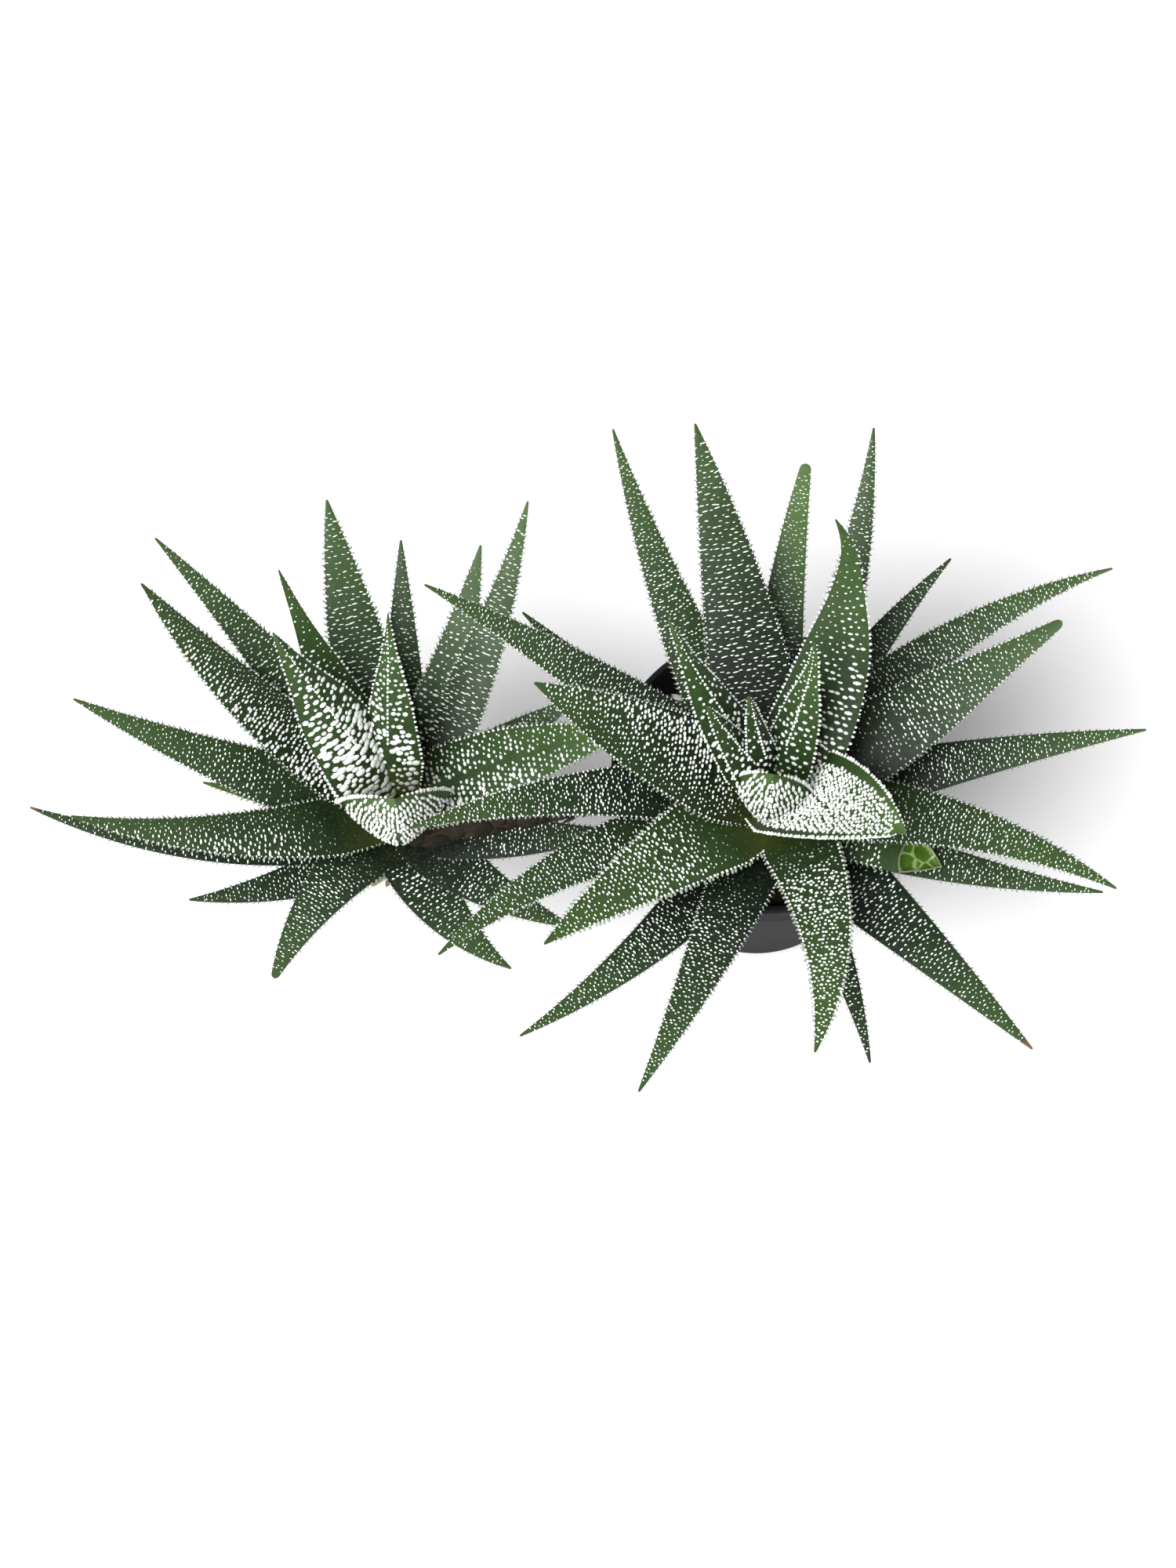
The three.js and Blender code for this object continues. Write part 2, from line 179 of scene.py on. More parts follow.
RIGHT_LEAVES: dict[Zone, list[Leaf]] = {
    Zone.LOWEST: [
        Leaf(88, -10, (22, 18), 78, 15, 20, tone=0.1, tip_tone=0.95, blunt=2.4, top=FINE),
        Leaf(62, -18, (14, 10), 71, 14, 22, tone=0.0, top=FINE),
        Leaf(11, -10, (14, 18), 84, 17, 16, 1.25, tone=0.0, tip_tone=0.3, top=FINE),
        Leaf(-26, 14, (8, 14), 76, 14, 16, tone=0.2, top=FINE),
        Leaf(
            -46.5, -4, (8, 12), 82, 21, 16, 1.2, tone=0.0, tip_tone=0.3, dry=0.03,
            top=replace(ROWS, smooth_to=0.3),
        ),
        Leaf(-64, -18, (12, 10), 66, 11, 20, tone=0.0, top=FINE),
        Leaf(-124, -20, (8, 18), 82, 17, 18, 1.2, tone=0.0, tip_tone=0.5, top=FINE),
        Leaf(146.5, -5, (16, 20), 70, 14, 20, tone=0.1, top=FINE),
        Leaf(-160, 4, (10, 14), 68, 14, 20, tone=0.05, top=FINE),
    ],
    Zone.SPREADING: [
        Leaf(
            121, -13, (20, 30), 90, 18, 15, 1.15, tone=0.35, tip_tone=0.4,
            top=replace(FINE, smooth_to=0.2),
        ),
        Leaf(63.5, 22, (20, 28), 87, 15, 16, tone=0.1, tip_tone=0.25, top=FINE),
        Leaf(
            50.5, -42, (14, 20), 93, 18, 15, 1.15, tone=0.15, tip_tone=0.4,
            top=replace(FINE, across=0.75),
        ),
        Leaf(-7, -33, (18, 18), 82, 19, 14, 1.3, tone=0.35, tip_tone=0.5, top=replace(FINE, across=0.75)),
        Leaf(-109, -8, (14, 10), 78, 18, 16, 1.25, tone=0.05, tip_tone=0.45, top=FINE),
        Leaf(-165, 34, (14, 14), 87, 17, 14, tone=0.2, tip_tone=0.5, top=FINE),
        Leaf(
            147, 14, (20, 24), 91, 17, 14, tone=0.2, tip_tone=0.4,
            top=replace(FINE, across=0.75, smooth_to=0.1),
        ),
        Leaf(
            -24.5, 0, (11, 10), 72, 16, 14, cut_at=0.55, tone=0.55,
            top=replace(SPARSE, missing=0.05, smooth_to=0.1),
        ),
    ],
    Zone.UPPER: [
        Leaf(100, 7, (26, 30), 84, 22, 11, 1.7, tone=0.05, tip_tone=0.3, top=DASHES),
        Leaf(
            24, 3, (22, 26), 74, 22, 10, 1.7, tone=0.07, tip_tone=0.4, blunt=2.4, nip=0.2,
            top=replace(BROAD, across=0.82, smooth_to=0.4),
        ),
        Leaf(
            -64, -44, (22, 18), 72, 19, 11, 1.35, tone=0.5, tip_tone=0.75,
            top=replace(FINE, along=0.42, smooth_to=0.26, missing=0.1),
        ),
        Leaf(
            -143.5, 10, (20, 24), 70, 24, 10, tone=0.72, tip_tone=0.75,
            top=replace(BROAD, across=0.9, along=0.46, smooth_to=0.32),
        ),
        Leaf(180, 26, (18, 16), 84, 17, 10, tone=0.05, tip_tone=0.5, top=FINE),
        Leaf(
            172, -4, (36, 42), 66, 24, 7, 2.0, tone=0.3, tip_tone=0.5,
            top=replace(BROAD, smooth_to=0.04, lean=-0.5),
        ),
    ],
    Zone.HEART: [
        Leaf(50, 48, (44, 50), 68, 20, 6, 2.0, tone=0.4, tip_tone=0.5, hook=40, nip=0.35, top=SLENDER),
        Leaf(
            144, -14, (52, 60), 54, 17, 5, roll=190, tone=0.4, tip_tone=0.6, nip=0.3,
            back=replace(LARGE, across=0.9, missing=0.2),
        ),
        Leaf(162, -4, (62, 70), 36, 13, 3, roll=180, tone=0.5, back=replace(LARGE, across=0.9)),
        Leaf(130, 0, (72, 78), 33, 9, 2, roll=180, tone=0.4, back=replace(LARGE, across=0.7, missing=0.3)),
        Leaf(
            56, 24, (64, 72), 45, 15, 4, roll=160, tone=0.6, tip_tone=0.75, nip=0.35, hook=20,
            back=replace(LARGE, across=0.85, along=0.7),
        ),
        Leaf(-42, 0, (50, 44), 49, 26, 6, 2.4, cup=0.3, tone=0.6, tip_tone=1.0, top=STREAKS, back=SHELL),
        Leaf(-100, 0, (80, 92), 28, 18, 6, 2.4, 5.0, cup=0.5, tone=0.8, top=STREAKS, back=SHELL),
    ],
}

LEFT_LEAVES: dict[Zone, list[Leaf]] = {
    Zone.LOWEST: [
        Leaf(91, 0, (22, 26), 63, 14, 14, tone=0.3),
        Leaf(-160.5, -37, (10, 18), 86, 12, 15, tone=0.1, dry=0.02),
        Leaf(-144.5, -28, (12, 10), 53, 15, 18, tone=0.05, top=FINE),
        Leaf(-139, 30, (10, 0), 48, 17, 13, tone=0.15, tip_tone=0.35, blunt=1.6, top=FINE),
        Leaf(-78, 46, (12, 6), 46, 18, 13, tone=0.1, tip_tone=0.4, top=replace(ROWS, across=0.8)),
        Leaf(-50.5, 28, (12, 12), 49, 16, 12, tone=0.05, tip_tone=0.3, top=FINE, dry=0.04),
        Leaf(-22, 28, (18, 12), 51, 17, 12, tone=0.0, top=FINE),
        Leaf(32, -8, (24, 24), 48, 18, 12, tone=0.1, top=FINE),
        Leaf(173, 0, (10, 20), 46, 9, 15, tone=1.0, top=SPARSE),
    ],
    Zone.SPREADING: [
        Leaf(132, 8, (20, 28), 83, 17, 11, 1.25, tone=0.3, tip_tone=0.45),
        Leaf(
            66.5, 11, (28, 30), 63, 20, 11, 1.2, tone=0.5,
            top=replace(LARGE, row_pitch=1.5, dot_pitch=1.6, across=0.85, along=0.6),
        ),
        Leaf(55.5, 20, (26, 34), 76, 15, 10, tone=0.35, tip_tone=0.5, top=DASHES),
        Leaf(
            170, -9, (14, 24), 78, 19, 11, 1.2, tone=0.35, tip_tone=0.55,
            top=replace(ROWS, across=0.72, smooth_to=0.34),
        ),
        Leaf(
            -158, -28.5, (18, 22), 76, 17, 9, tone=0.35, tip_tone=0.45,
            top=replace(ROWS, across=0.86, smooth_to=0.3, lean=0.65),
        ),
        Leaf(15, -4, (26, 26), 50, 14, 9, tone=0.7, tip_tone=0.6, top=replace(ROWS, smooth_to=0.55)),
    ],
    Zone.UPPER: [
        Leaf(107, -5, (30, 34), 71, 18, 8, 2.0, tone=0.3, tip_tone=0.45, top=DASHES),
        Leaf(
            155, -20, (26, 38), 78, 20, 8, 2.0, roll=25, tone=0.35, tip_tone=0.55,
            top=replace(BROAD, smooth_to=0.02, lean=0.7),
        ),
        Leaf(17, -18, (30, 20), 56, 20, 7, 2.3, tone=0.6, tip_tone=0.7, top=PARTED),
    ],
    Zone.HEART: [
        Leaf(
            127.5, -8, (44, 54), 64, 16, 6, tone=0.45, tip_tone=0.5, nip=0.3,
            top=replace(LARGE, across=0.95, along=0.7, row_pitch=1.6, lean=0.4),
        ),
        Leaf(90, 0, (60, 66), 52, 16, 4, roll=155, tone=0.6, tip_tone=0.7, nip=0.4, back=CROWDED),
        Leaf(143, -6, (54, 60), 56, 20, 4, 2.0, roll=180, tone=0.6, tip_tone=0.5, nip=0.3, back=SCALES),
        Leaf(-84, 0, (76, 82), 34, 26, 5, 2.4, 6.0, cup=0.45, tone=0.8, top=STREAKS, back=SHELL),
    ],
}


@dataclass(frozen=True)
class Margin:
    """A row of teeth or beads along a margin.

    pitch, radius and reach are in millimetres. ahead leans the row towards the tip and lift out of the
    face, skin is its share of the leaf's own colour, and inset is its place, as a share of the half
    width.
    """

    pitch: float
    radius: float
    reach: float
    ahead: float
    lift: float
    skin: float
    inset: float


TEETH = Margin(1.3, 0.34, 0.85, ahead=0.6, lift=0.0, skin=0.72, inset=0.99)
BEADS = Margin(1.15, 0.3, 0.5, ahead=0.1, lift=0.5, skin=0.0, inset=0.95)
ROPE = Margin(1.25, 0.36, 0.7, ahead=0.2, lift=0.1, skin=0.0, inset=0.985)
MARGINS: dict[Zone, tuple[Margin, ...]] = {
    Zone.LOWEST: (TEETH,),
    Zone.SPREADING: (TEETH, BEADS),
    Zone.UPPER: (TEETH, BEADS),
    Zone.HEART: (ROPE,),
}


@dataclass(frozen=True)
class Scrap:
    """A dried scrap of an old leaf at a stem, from its foot to its end, in millimetres."""

    foot: Point
    end: Point
    width: float
    tint: Colour
    thick: float = 0.8


RIGHT_CROWN, RIGHT_AXIS = (1.0, -15.3, 86.0), (0.02, -0.04, 1.0)
RIGHT_STEM: Stem = [
    ((-2, -8, 36), 5),
    ((-1, -10.5, 49), 6.5),
    ((0, -13, 60), 9),
    ((0.6, -14.4, 74), 8.5),
    ((1, -15.3, 83), 5),
]
LEFT_CROWN, LEFT_AXIS = (-85.0, -8.3, 64.0), (-0.2, 0.16, 0.97)
LEFT_STEM: Stem = [
    ((-13, -4.6, 36), 4.2),
    ((-19, -6, 51), 4.8),
    ((-33, -8.4, 66.5), 4.8),
    ((-60, -11, 59), 5.5),
    ((-78, -11.6, 52), 8),
    ((-84, -8.8, 61), 5),
]
LEFT_SCRAPS = (
    Scrap((-84.5, -16.0, 50.0), (-89.6, -27.0, 52.0), 6.0, (0.42, 0.47, 0.27)),
    Scrap((-83.5, -16.5, 49.0), (-86.4, -26.6, 50.5), 3.2, (0.22, 0.16, 0.085)),
)


@dataclass(frozen=True)
class Habit:
    """How tubercles grow, the same on every leaf.

    A tubercle strays within its row by the share stray of the pitch, and a row bows towards the base by
    the share bow of the length. None stands below the share first of the length or past the share last of
    the half width.

    Small ones begin at the share wake of the smooth part, and over the share onset past its end they come
    to their full size from the share smallest of it, while thinned is the share missing at first. excess
    is how much of vary the largest reach, and swell the part of the length over which base_size turns
    into tip_size. tilt turns them within the face, in radians.

    rise is the height of a tubercle of no size and what size adds to it, and highest is the most that it
    reaches. green_to is the share of the length up to which they take on the leaf's own colour, as painted
    shade that dims them near the crown: by the share old_green on an old leaf, less tone_fade for its tone,
    and young_green from the tone young on.
    unripe_green and unripe_dull belong to those that are still small, tip_dull to those from the share
    dull_from on, and dull is the mean and the spread of the rest.
    """

    stray: float = 0.13
    bow: float = 0.012
    first: float = 0.02
    last: float = 0.93
    wake: float = 0.4
    onset: float = 0.12
    smallest: float = 0.28
    thinned: float = 0.6
    excess: float = 0.8
    swell: tuple[float, float] = (0.25, 0.95)
    tilt: float = 0.12
    rise: tuple[float, float] = (0.3, 0.8)
    highest: float = 1.25
    green_to: float = 0.35
    old_green: float = 0.8
    tone_fade: float = 1.2
    young: float = 0.45
    young_green: float = 0.65
    unripe_green: float = 0.7
    unripe_dull: float = 0.45
    tip_dull: float = 0.2
    dull_from: float = 0.7
    dull: tuple[float, float] = (0.08, 0.1)


@dataclass(frozen=True)
class KeelBeads:
    """The line of beads on a leaf's keel.

    It runs between the shares start, or cupped_start on a cupped leaf, and end of the length. The first
    bead stands at the share first of the pitch, and each strays by the share stray of it. pitch, width,
    length and height are in millimetres. sizes is how much they vary, and they shrink by the share shrink
    from the share shrink_from on. They lie as the face does at the place beside, since the keel itself is
    a crease, and dull is how dull they are.
    """

    start: float = 0.3
    cupped_start: float = 0.55
    end: float = 0.96
    pitch: float = 1.15
    stray: float = 0.1
    first: float = 0.3
    beside: float = 0.04
    sizes: tuple[float, float] = (0.8, 1.15)
    shrink: float = 0.5
    shrink_from: float = 0.6
    width: float = 0.36
    length: float = 0.42
    height: float = 0.5
    dull: float = 0.1


@dataclass(frozen=True)
class MarginHabit:
    """How the teeth and beads of every margin grow.

    They run up to the share end of the length, stray by the share stray of their pitch and lie as the face
    does at the place beside across it. stout is their size on a dark flat leaf, what a light tone adds and
    what a cup adds, and sizes is how much it varies. Their size begins at the share base_size and is full
    past grown, and it shrinks by the share shrink from the share shrink_from on. Each points out of the
    face by at least the share outward, and dullest is the most that one is dulled.
    """

    end: float = 0.97
    stray: float = 0.12
    beside: float = 0.97
    stout: tuple[float, float, float] = (0.8, 0.4, 0.7)
    sizes: tuple[float, float] = (0.75, 1.2)
    base_size: float = 0.5
    grown: tuple[float, float] = (0.03, 0.25)
    shrink: float = 0.45
    shrink_from: float = 0.75
    outward: float = 0.1
    dullest: float = 0.3


@dataclass(frozen=True)
class WitheredBases:
    """How withered leaf bases sit on a stem.

    They stand between the shares span of its length, two to each pitch, each turned by turn degrees from
    the one below, give or take stray radians. They are set at the share depth of the stem's radius, lean
    out of it by lean and are full-sized where it is full_girth thick. pitch, length, width, thick and
    full_girth are in millimetres.
    """

    span: tuple[float, float] = (0.16, 0.9)
    pitch: float = 2.1
    turn: float = 137.5
    stray: float = 0.15
    depth: float = 0.86
    lean: tuple[float, float] = (0.1, 0.3)
    sizes: tuple[float, float] = (0.75, 1.15)
    length: float = 6.0
    width: float = 8.0
    thick: float = 1.3
    full_girth: float = 6.5
    # Painted shade: dark and light are browns darkened nearly to black, where the stem lies under the leaves
    dark: Colour = (0.010, 0.008, 0.005)
    light: Colour = (0.036, 0.028, 0.019)


HABIT = Habit()
KEEL_BEADS = KeelBeads()
MARGIN_HABIT = MarginHabit()
WITHERED_BASES = WitheredBases()

# The cross section and the relief of a leaf, as on the solids
SOLID_ROWS = 16
BASE_WIDTH_SHARE = 0.72
FULL_WIDTH_AT = 0.2
THICKNESS_SHARE = 0.24
THINNEST = 0.8
FACE_RISE = 0.14
KEEL_DEPTH = 0.84
FACE_POWER = 2.4
KEEL_POWER = 1.22
TUBERCLE_RISE = 0.5

# What the solids don't have: hooked and drawn-in tips, and a more slanting break, bare beside its rim
HOOK_FROM = 0.78
NIP_FROM, NIP_TO = 0.5, 0.88
BREAK_LEAN = 77.0
BREAK_CLEARANCE = 0.8

# The rings of a leaf's skin and the points of each, with closer rings at the tip
HALF_SECTION = 10
SECTION = 2 * HALF_SECTION
LEAF_ROWS = 54
TIP_ROWS = 8
TIP_SHARE = 0.04
TIP_POWER = 1.6
LAST_RING = 0.98


def smooth_step(low: float, high: float, value: np.ndarray) -> np.ndarray:
    """Returns 0 below low, 1 above high and a smooth rise between them."""
    t = np.clip((value - low) / (high - low), 0.0, 1.0)
    return t * t * (3.0 - 2.0 * t)


def unit(vectors: np.ndarray) -> np.ndarray:
    """Returns the vectors at length 1."""
    return vectors / np.linalg.norm(vectors, axis=-1, keepdims=True)


class LeafForm:
    """The surface of one leaf, worked out from its sizes."""

    SAMPLES = 193
    STEP_ALONG = 0.004
    STEP_ACROSS = 0.02

    def __init__(self, leaf: Leaf, crown: Point, axis: Point) -> None:
        """Lays out the midline and the directions across it.

        Args:
            leaf: The sizes of the leaf.
            crown: The growing point of its head, in millimetres.
            axis: The way that the head faces.
        """
        self.leaf = leaf
        self.s = np.linspace(0.0, 1.0, self.SAMPLES)
        lag = self.s - 0.5 / SOLID_ROWS
        hook = leaf.hook * smooth_step(HOOK_FROM, 1.0, self.s)
        turn = np.radians(leaf.compass + leaf.sweep * lag + hook)
        slope = np.radians(leaf.rise[0] + (leaf.rise[1] - leaf.rise[0]) * lag)
        self.along = np.stack(
            [np.cos(slope) * np.cos(turn), np.cos(slope) * np.sin(turn), np.sin(slope)], axis=-1
        )
        step = leaf.length / (self.SAMPLES - 1)
        path = np.cumsum((self.along[1:] + self.along[:-1]) / 2 * step, axis=0)
        first = math.radians(leaf.compass)
        root = np.array(crown) - unit(np.array(axis)) * leaf.drop
        root = root + leaf.start * np.array([math.cos(first), math.sin(first), 0.0])
        self.path = root + np.concatenate([np.zeros((1, 3)), path])
        level = np.stack([-np.sin(turn), np.cos(turn), np.zeros_like(turn)], axis=-1)
        upright = np.cross(self.along, level)
        roll = math.radians(leaf.roll)
        self.side = level * math.cos(roll) + upright * math.sin(roll)
        self.up = upright * math.cos(roll) - level * math.sin(roll)

    def at(self, values: np.ndarray, s: np.ndarray) -> np.ndarray:
        """Returns the rows of values at the shares s of the length."""
        return np.stack([np.interp(s, self.s, values[:, k]) for k in range(3)], axis=-1)

    def width(self, s: np.ndarray) -> np.ndarray:
        """Returns the width in millimetres at the shares s of the length."""
        leaf = self.leaf
        swell = BASE_WIDTH_SHARE + (1 - BASE_WIDTH_SHARE) * np.minimum(1.0, s / FULL_WIDTH_AT)
        narrowed = 1 - np.clip(s, 0.0, 1.0) ** leaf.taper * (1 - leaf.blunt / leaf.width)
        rounded = 1 - leaf.blunt / 2 / leaf.length
        fall = np.sqrt(np.clip(1 - ((s - rounded) / (1 - rounded)) ** 2, 0.0, 1.0))
        drawn_in = 1 - leaf.nip * smooth_step(NIP_FROM, NIP_TO, s)
        return leaf.width * swell * narrowed * np.where(s > rounded, fall, 1.0) * drawn_in

    def point(self, s: np.ndarray, u: np.ndarray, top: bool) -> np.ndarray:
        """Finds points on a face.

        Args:
            s: Shares of the length, from the base.
            u: Places across the leaf, from -1 to 1.
            top: True for the upper face and False for the keeled one.

        Returns:
            The points, in millimetres.
        """
        width = self.width(s)
        thick = np.maximum(THINNEST, width * THICKNESS_SHARE) * np.minimum(1.0, width / THINNEST)
        if top:
            height = thick * FACE_RISE * (1 - np.abs(u) ** FACE_POWER)
        else:
            height = -thick * KEEL_DEPTH * (1 - np.abs(u) ** KEEL_POWER)
        height = height + self.leaf.cup * width / 2 * u * u
        across = self.at(self.side, s) * (u * width / 2)[..., None]
        return self.at(self.path, s) + across + self.at(self.up, s) * height[..., None]

    def axes(self, s: np.ndarray, u: np.ndarray, top: bool) -> tuple[np.ndarray, np.ndarray, np.ndarray]:
        """Finds the directions of the surface.

        Args:
            s: Shares of the length.
            u: Places across the leaf.
            top: True for the upper face.

        Returns:
            Unit vectors across the leaf, along it and out of the face.
        """
        low, high = np.clip(s - self.STEP_ALONG, 0, 1), np.clip(s + self.STEP_ALONG, 0, 1)
        along = self.point(high, u, top) - self.point(low, u, top)
        inner, outer = np.clip(u - self.STEP_ACROSS, -1, 1), np.clip(u + self.STEP_ACROSS, -1, 1)
        across = unit(self.point(s, outer, top) - self.point(s, inner, top))
        out = unit(np.cross(along, across))
        if not top:
            out = -out
        return across, unit(np.cross(across, out) if top else np.cross(out, across)), out

    def break_plane(self) -> tuple[np.ndarray, np.ndarray]:
        """Returns a point and the outward direction of the slanting break of a broken leaf."""
        s = np.array([self.leaf.cut_at])
        lean = math.radians(BREAK_LEAN)
        facing = self.at(self.along, s)[0] * math.cos(lean) + self.at(self.up, s)[0] * math.sin(lean)
        return self.point(s, np.zeros(1), False)[0], facing

    def rings(self) -> tuple[np.ndarray, np.ndarray, np.ndarray]:
        """Lays out the skin.

        Returns:
            The rings of points, the tip and the share of the length at each ring.
        """
        angle = np.pi * np.arange(HALF_SECTION) / HALF_SECTION
        top, back = np.cos(angle), -np.cos(angle)
        body = np.linspace(0, 1 - TIP_SHARE, LEAF_ROWS - TIP_ROWS, endpoint=False)
        to_tip = TIP_SHARE * (1 - np.linspace(0, LAST_RING, TIP_ROWS)) ** TIP_POWER
        s = np.concatenate([body, 1 - to_tip])
        grid = s[:, None] + np.zeros(HALF_SECTION)
        upper = self.point(grid, np.broadcast_to(top, grid.shape), True)
        lower = self.point(grid, np.broadcast_to(back, grid.shape), False)
        return np.concatenate([upper, lower], axis=1), self.path[-1], s


# Modelling helpers


def deselect() -> None:
    """Leaves nothing selected, so that an operator acts on new pieces alone."""
    if bpy.context.object and bpy.context.object.mode != "OBJECT":
        bpy.ops.object.mode_set(mode="OBJECT")
    bpy.ops.object.select_all(action="DESELECT")


def pick(piece: bpy.types.Object) -> None:
    """Makes a piece the only selected one and the active one."""
    deselect()
    piece.select_set(True)
    bpy.context.view_layer.objects.active = piece


def settle(piece: bpy.types.Object) -> None:
    """Puts a piece's place, turn and scale into its mesh."""
    pick(piece)
    bpy.ops.object.transform_apply(location=True, rotation=True, scale=True)


@contextmanager
def editing() -> Iterator[None]:
    """Opens the active piece for editing with all of it selected, and closes it again."""
    bpy.ops.object.mode_set(mode="EDIT")
    bpy.ops.mesh.select_all(action="SELECT")
    yield
    bpy.ops.object.mode_set(mode="OBJECT")


def in_scene(name: str, data: bpy.types.ID) -> bpy.types.Object:
    """Makes an object of a mesh, a light or a camera and puts it in the scene."""
    piece = bpy.data.objects.new(name, data)
    bpy.context.scene.collection.objects.link(piece)
    return piece


def spun(name: str, outline: Sequence[tuple[float, float]], turns: int) -> bpy.types.Object:
    """Turns an outline round the upright axis.

    Args:
        name: The name of the mesh.
        outline: The radius and height of each point, in millimetres.
        turns: The number of steps round.

    Returns:
        The closed piece, which is the active one.
    """
    mesh = bpy.data.meshes.new(name)
    points = [(radius * MM, 0, height * MM) for radius, height in outline]
    mesh.from_pydata(points, [(i, i + 1) for i in range(len(points) - 1)], [])
    piece = in_scene(name, mesh)
    pick(piece)
    with editing():
        bpy.ops.mesh.spin(steps=turns, angle=2 * math.pi, center=(0, 0, 0), axis=(0, 0, 1))
        bpy.ops.mesh.select_all(action="SELECT")
        bpy.ops.mesh.remove_doubles(threshold=0.02 * MM)
        bpy.ops.mesh.normals_make_consistent(inside=False)
    return piece


def finish_modifier(piece: bpy.types.Object, kind: str, **settings: object) -> None:
    """Adds a modifier with its settings and applies it."""
    pick(piece)
    modifier = piece.modifiers.new(kind.title(), kind)
    for name, value in settings.items():
        setattr(modifier, name, value)
    bpy.ops.object.modifier_apply(modifier=modifier.name)


def place(piece: bpy.types.Object, name: str, slot: str, *nodes: str) -> None:
    """Names a finished piece and says what it rides on and stands for.

    Args:
        piece: The finished piece.
        name: Its name.
        slot: Not used.
        *nodes: The solids that it stands for.
    """
    piece.name = name
    piece.data.name = name
    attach(piece, BODY)
    if nodes:
        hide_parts(*nodes)
    log.info("%s: %d faces", name, len(piece.data.polygons))


@dataclass
class Stamp:
    """A small shape that is modelled once and copied to many places in one mesh."""

    points: np.ndarray
    faces: list[list[int]]

    @classmethod
    def of(cls, piece: bpy.types.Object) -> Stamp:
        """Reads a piece as a stamp and removes it."""
        mesh = piece.data
        points = np.array([v.co for v in mesh.vertices])
        faces = [list(p.vertices) for p in mesh.polygons]
        bpy.data.objects.remove(piece)
        bpy.data.meshes.remove(mesh)
        return cls(points, faces)

    @classmethod
    def dome(cls) -> Stamp:
        """Models a large tubercle: a low dome without a foot, one unit in radius and in height."""
        deselect()
        bpy.ops.mesh.primitive_uv_sphere_add(segments=6, ring_count=4, radius=1.0)
        with editing():
            bpy.ops.mesh.bisect(plane_co=(0, 0, -0.05), plane_no=(0, 0, 1), clear_inner=True)
        return cls.of(bpy.context.object)

    @classmethod
    def point(cls) -> Stamp:
        """Models a small tubercle: a six-sided point, one unit in radius and in height."""
        deselect()
        bpy.ops.mesh.primitive_cone_add(
            vertices=6, radius1=1.0, depth=1.1, end_fill_type="NOTHING", location=(0, 0, 0.45)
        )
        piece = bpy.context.object
        settle(piece)
        return cls.of(piece)

    @classmethod
    def scale(cls) -> Stamp:
        """Models a withered leaf base: a thin shell that narrows and curls, one unit long from its foot."""
        taper, thin, curl = 0.55, 0.35, 0.55
        deselect()
        bpy.ops.mesh.primitive_uv_sphere_add(segments=10, ring_count=8, radius=1.0, location=(0, 0, 0))
        piece = bpy.context.object
        with editing():
            bpy.ops.transform.rotate(value=math.radians(90), orient_axis="X", center_override=(0, 0, 0))
        for vertex in piece.data.vertices:
            x, y, z = vertex.co
            narrow = 1 - taper * max(0.0, y)
            vertex.co = (x * narrow, (y + 1) / 2, z * thin * narrow - curl * x * x * narrow)
        return cls.of(piece)

    @classmethod
    def chip(cls, seed: int, flatness: float) -> Stamp:
        """Models a crumb of soil: a ball with its points moved at random.

        Args:
            seed: The seed of the random draw.
            flatness: Its height as a share of its width.

        Returns:
            The crumb as a stamp.
        """
        deselect()
        bpy.ops.mesh.primitive_ico_sphere_add(subdivisions=1, radius=1.0)
        with editing():
            bpy.ops.transform.vertex_random(offset=0.28, seed=seed)
            bpy.ops.transform.resize(value=(1.0, 0.8, flatness))
        return cls.of(bpy.context.object)

    def copies(
        self, name: str, centres: np.ndarray, axes: np.ndarray, tint: np.ndarray, smooth: bool = True
    ) -> bpy.types.Object:
        """Makes one mesh of many copies.

        Args:
            name: The name of the mesh.
            centres: A centre for each copy, in millimetres.
            axes: Three scaled axes for each copy, as rows, in millimetres.
            tint: A colour for each copy, kept as the attribute Tone with the height as alpha.
            smooth: Whether the copies are shaded smooth.

        Returns:
            The object.
        """
        count, size = len(centres), len(self.points)
        axes = axes.copy()
        axes[np.linalg.det(axes) < 0, 0] *= -1
        corners = centres[:, None, :] + np.einsum("pk,nkc->npc", self.points, axes)
        sides = np.array([len(f) for f in self.faces])
        loops = np.concatenate([np.array(f) for f in self.faces])
        mesh = bpy.data.meshes.new(name)
        mesh.vertices.add(count * size)
        mesh.vertices.foreach_set("co", (corners * MM).astype(np.float32).ravel())
        mesh.loops.add(count * len(loops))
        mesh.loops.foreach_set("vertex_index", (loops + size * np.arange(count)[:, None]).ravel())
        mesh.polygons.add(count * len(sides))
        starts = np.cumsum(sides) - sides
        mesh.polygons.foreach_set("loop_start", (starts + len(loops) * np.arange(count)[:, None]).ravel())
        mesh.polygons.foreach_set("use_smooth", np.full(count * len(sides), smooth))
        mesh.update(calc_edges=True)
        attribute = mesh.attributes.new("Tone", "FLOAT_COLOR", "POINT")
        shade = np.repeat(np.concatenate([tint, np.ones((count, 1))], axis=1), size, axis=0)
        shade[:, 3] = np.tile(np.clip(self.points[:, 2], 0, 1), count)
        attribute.data.foreach_set("color", shade.astype(np.float32).ravel())
        mesh.validate()
        return in_scene(name, mesh)


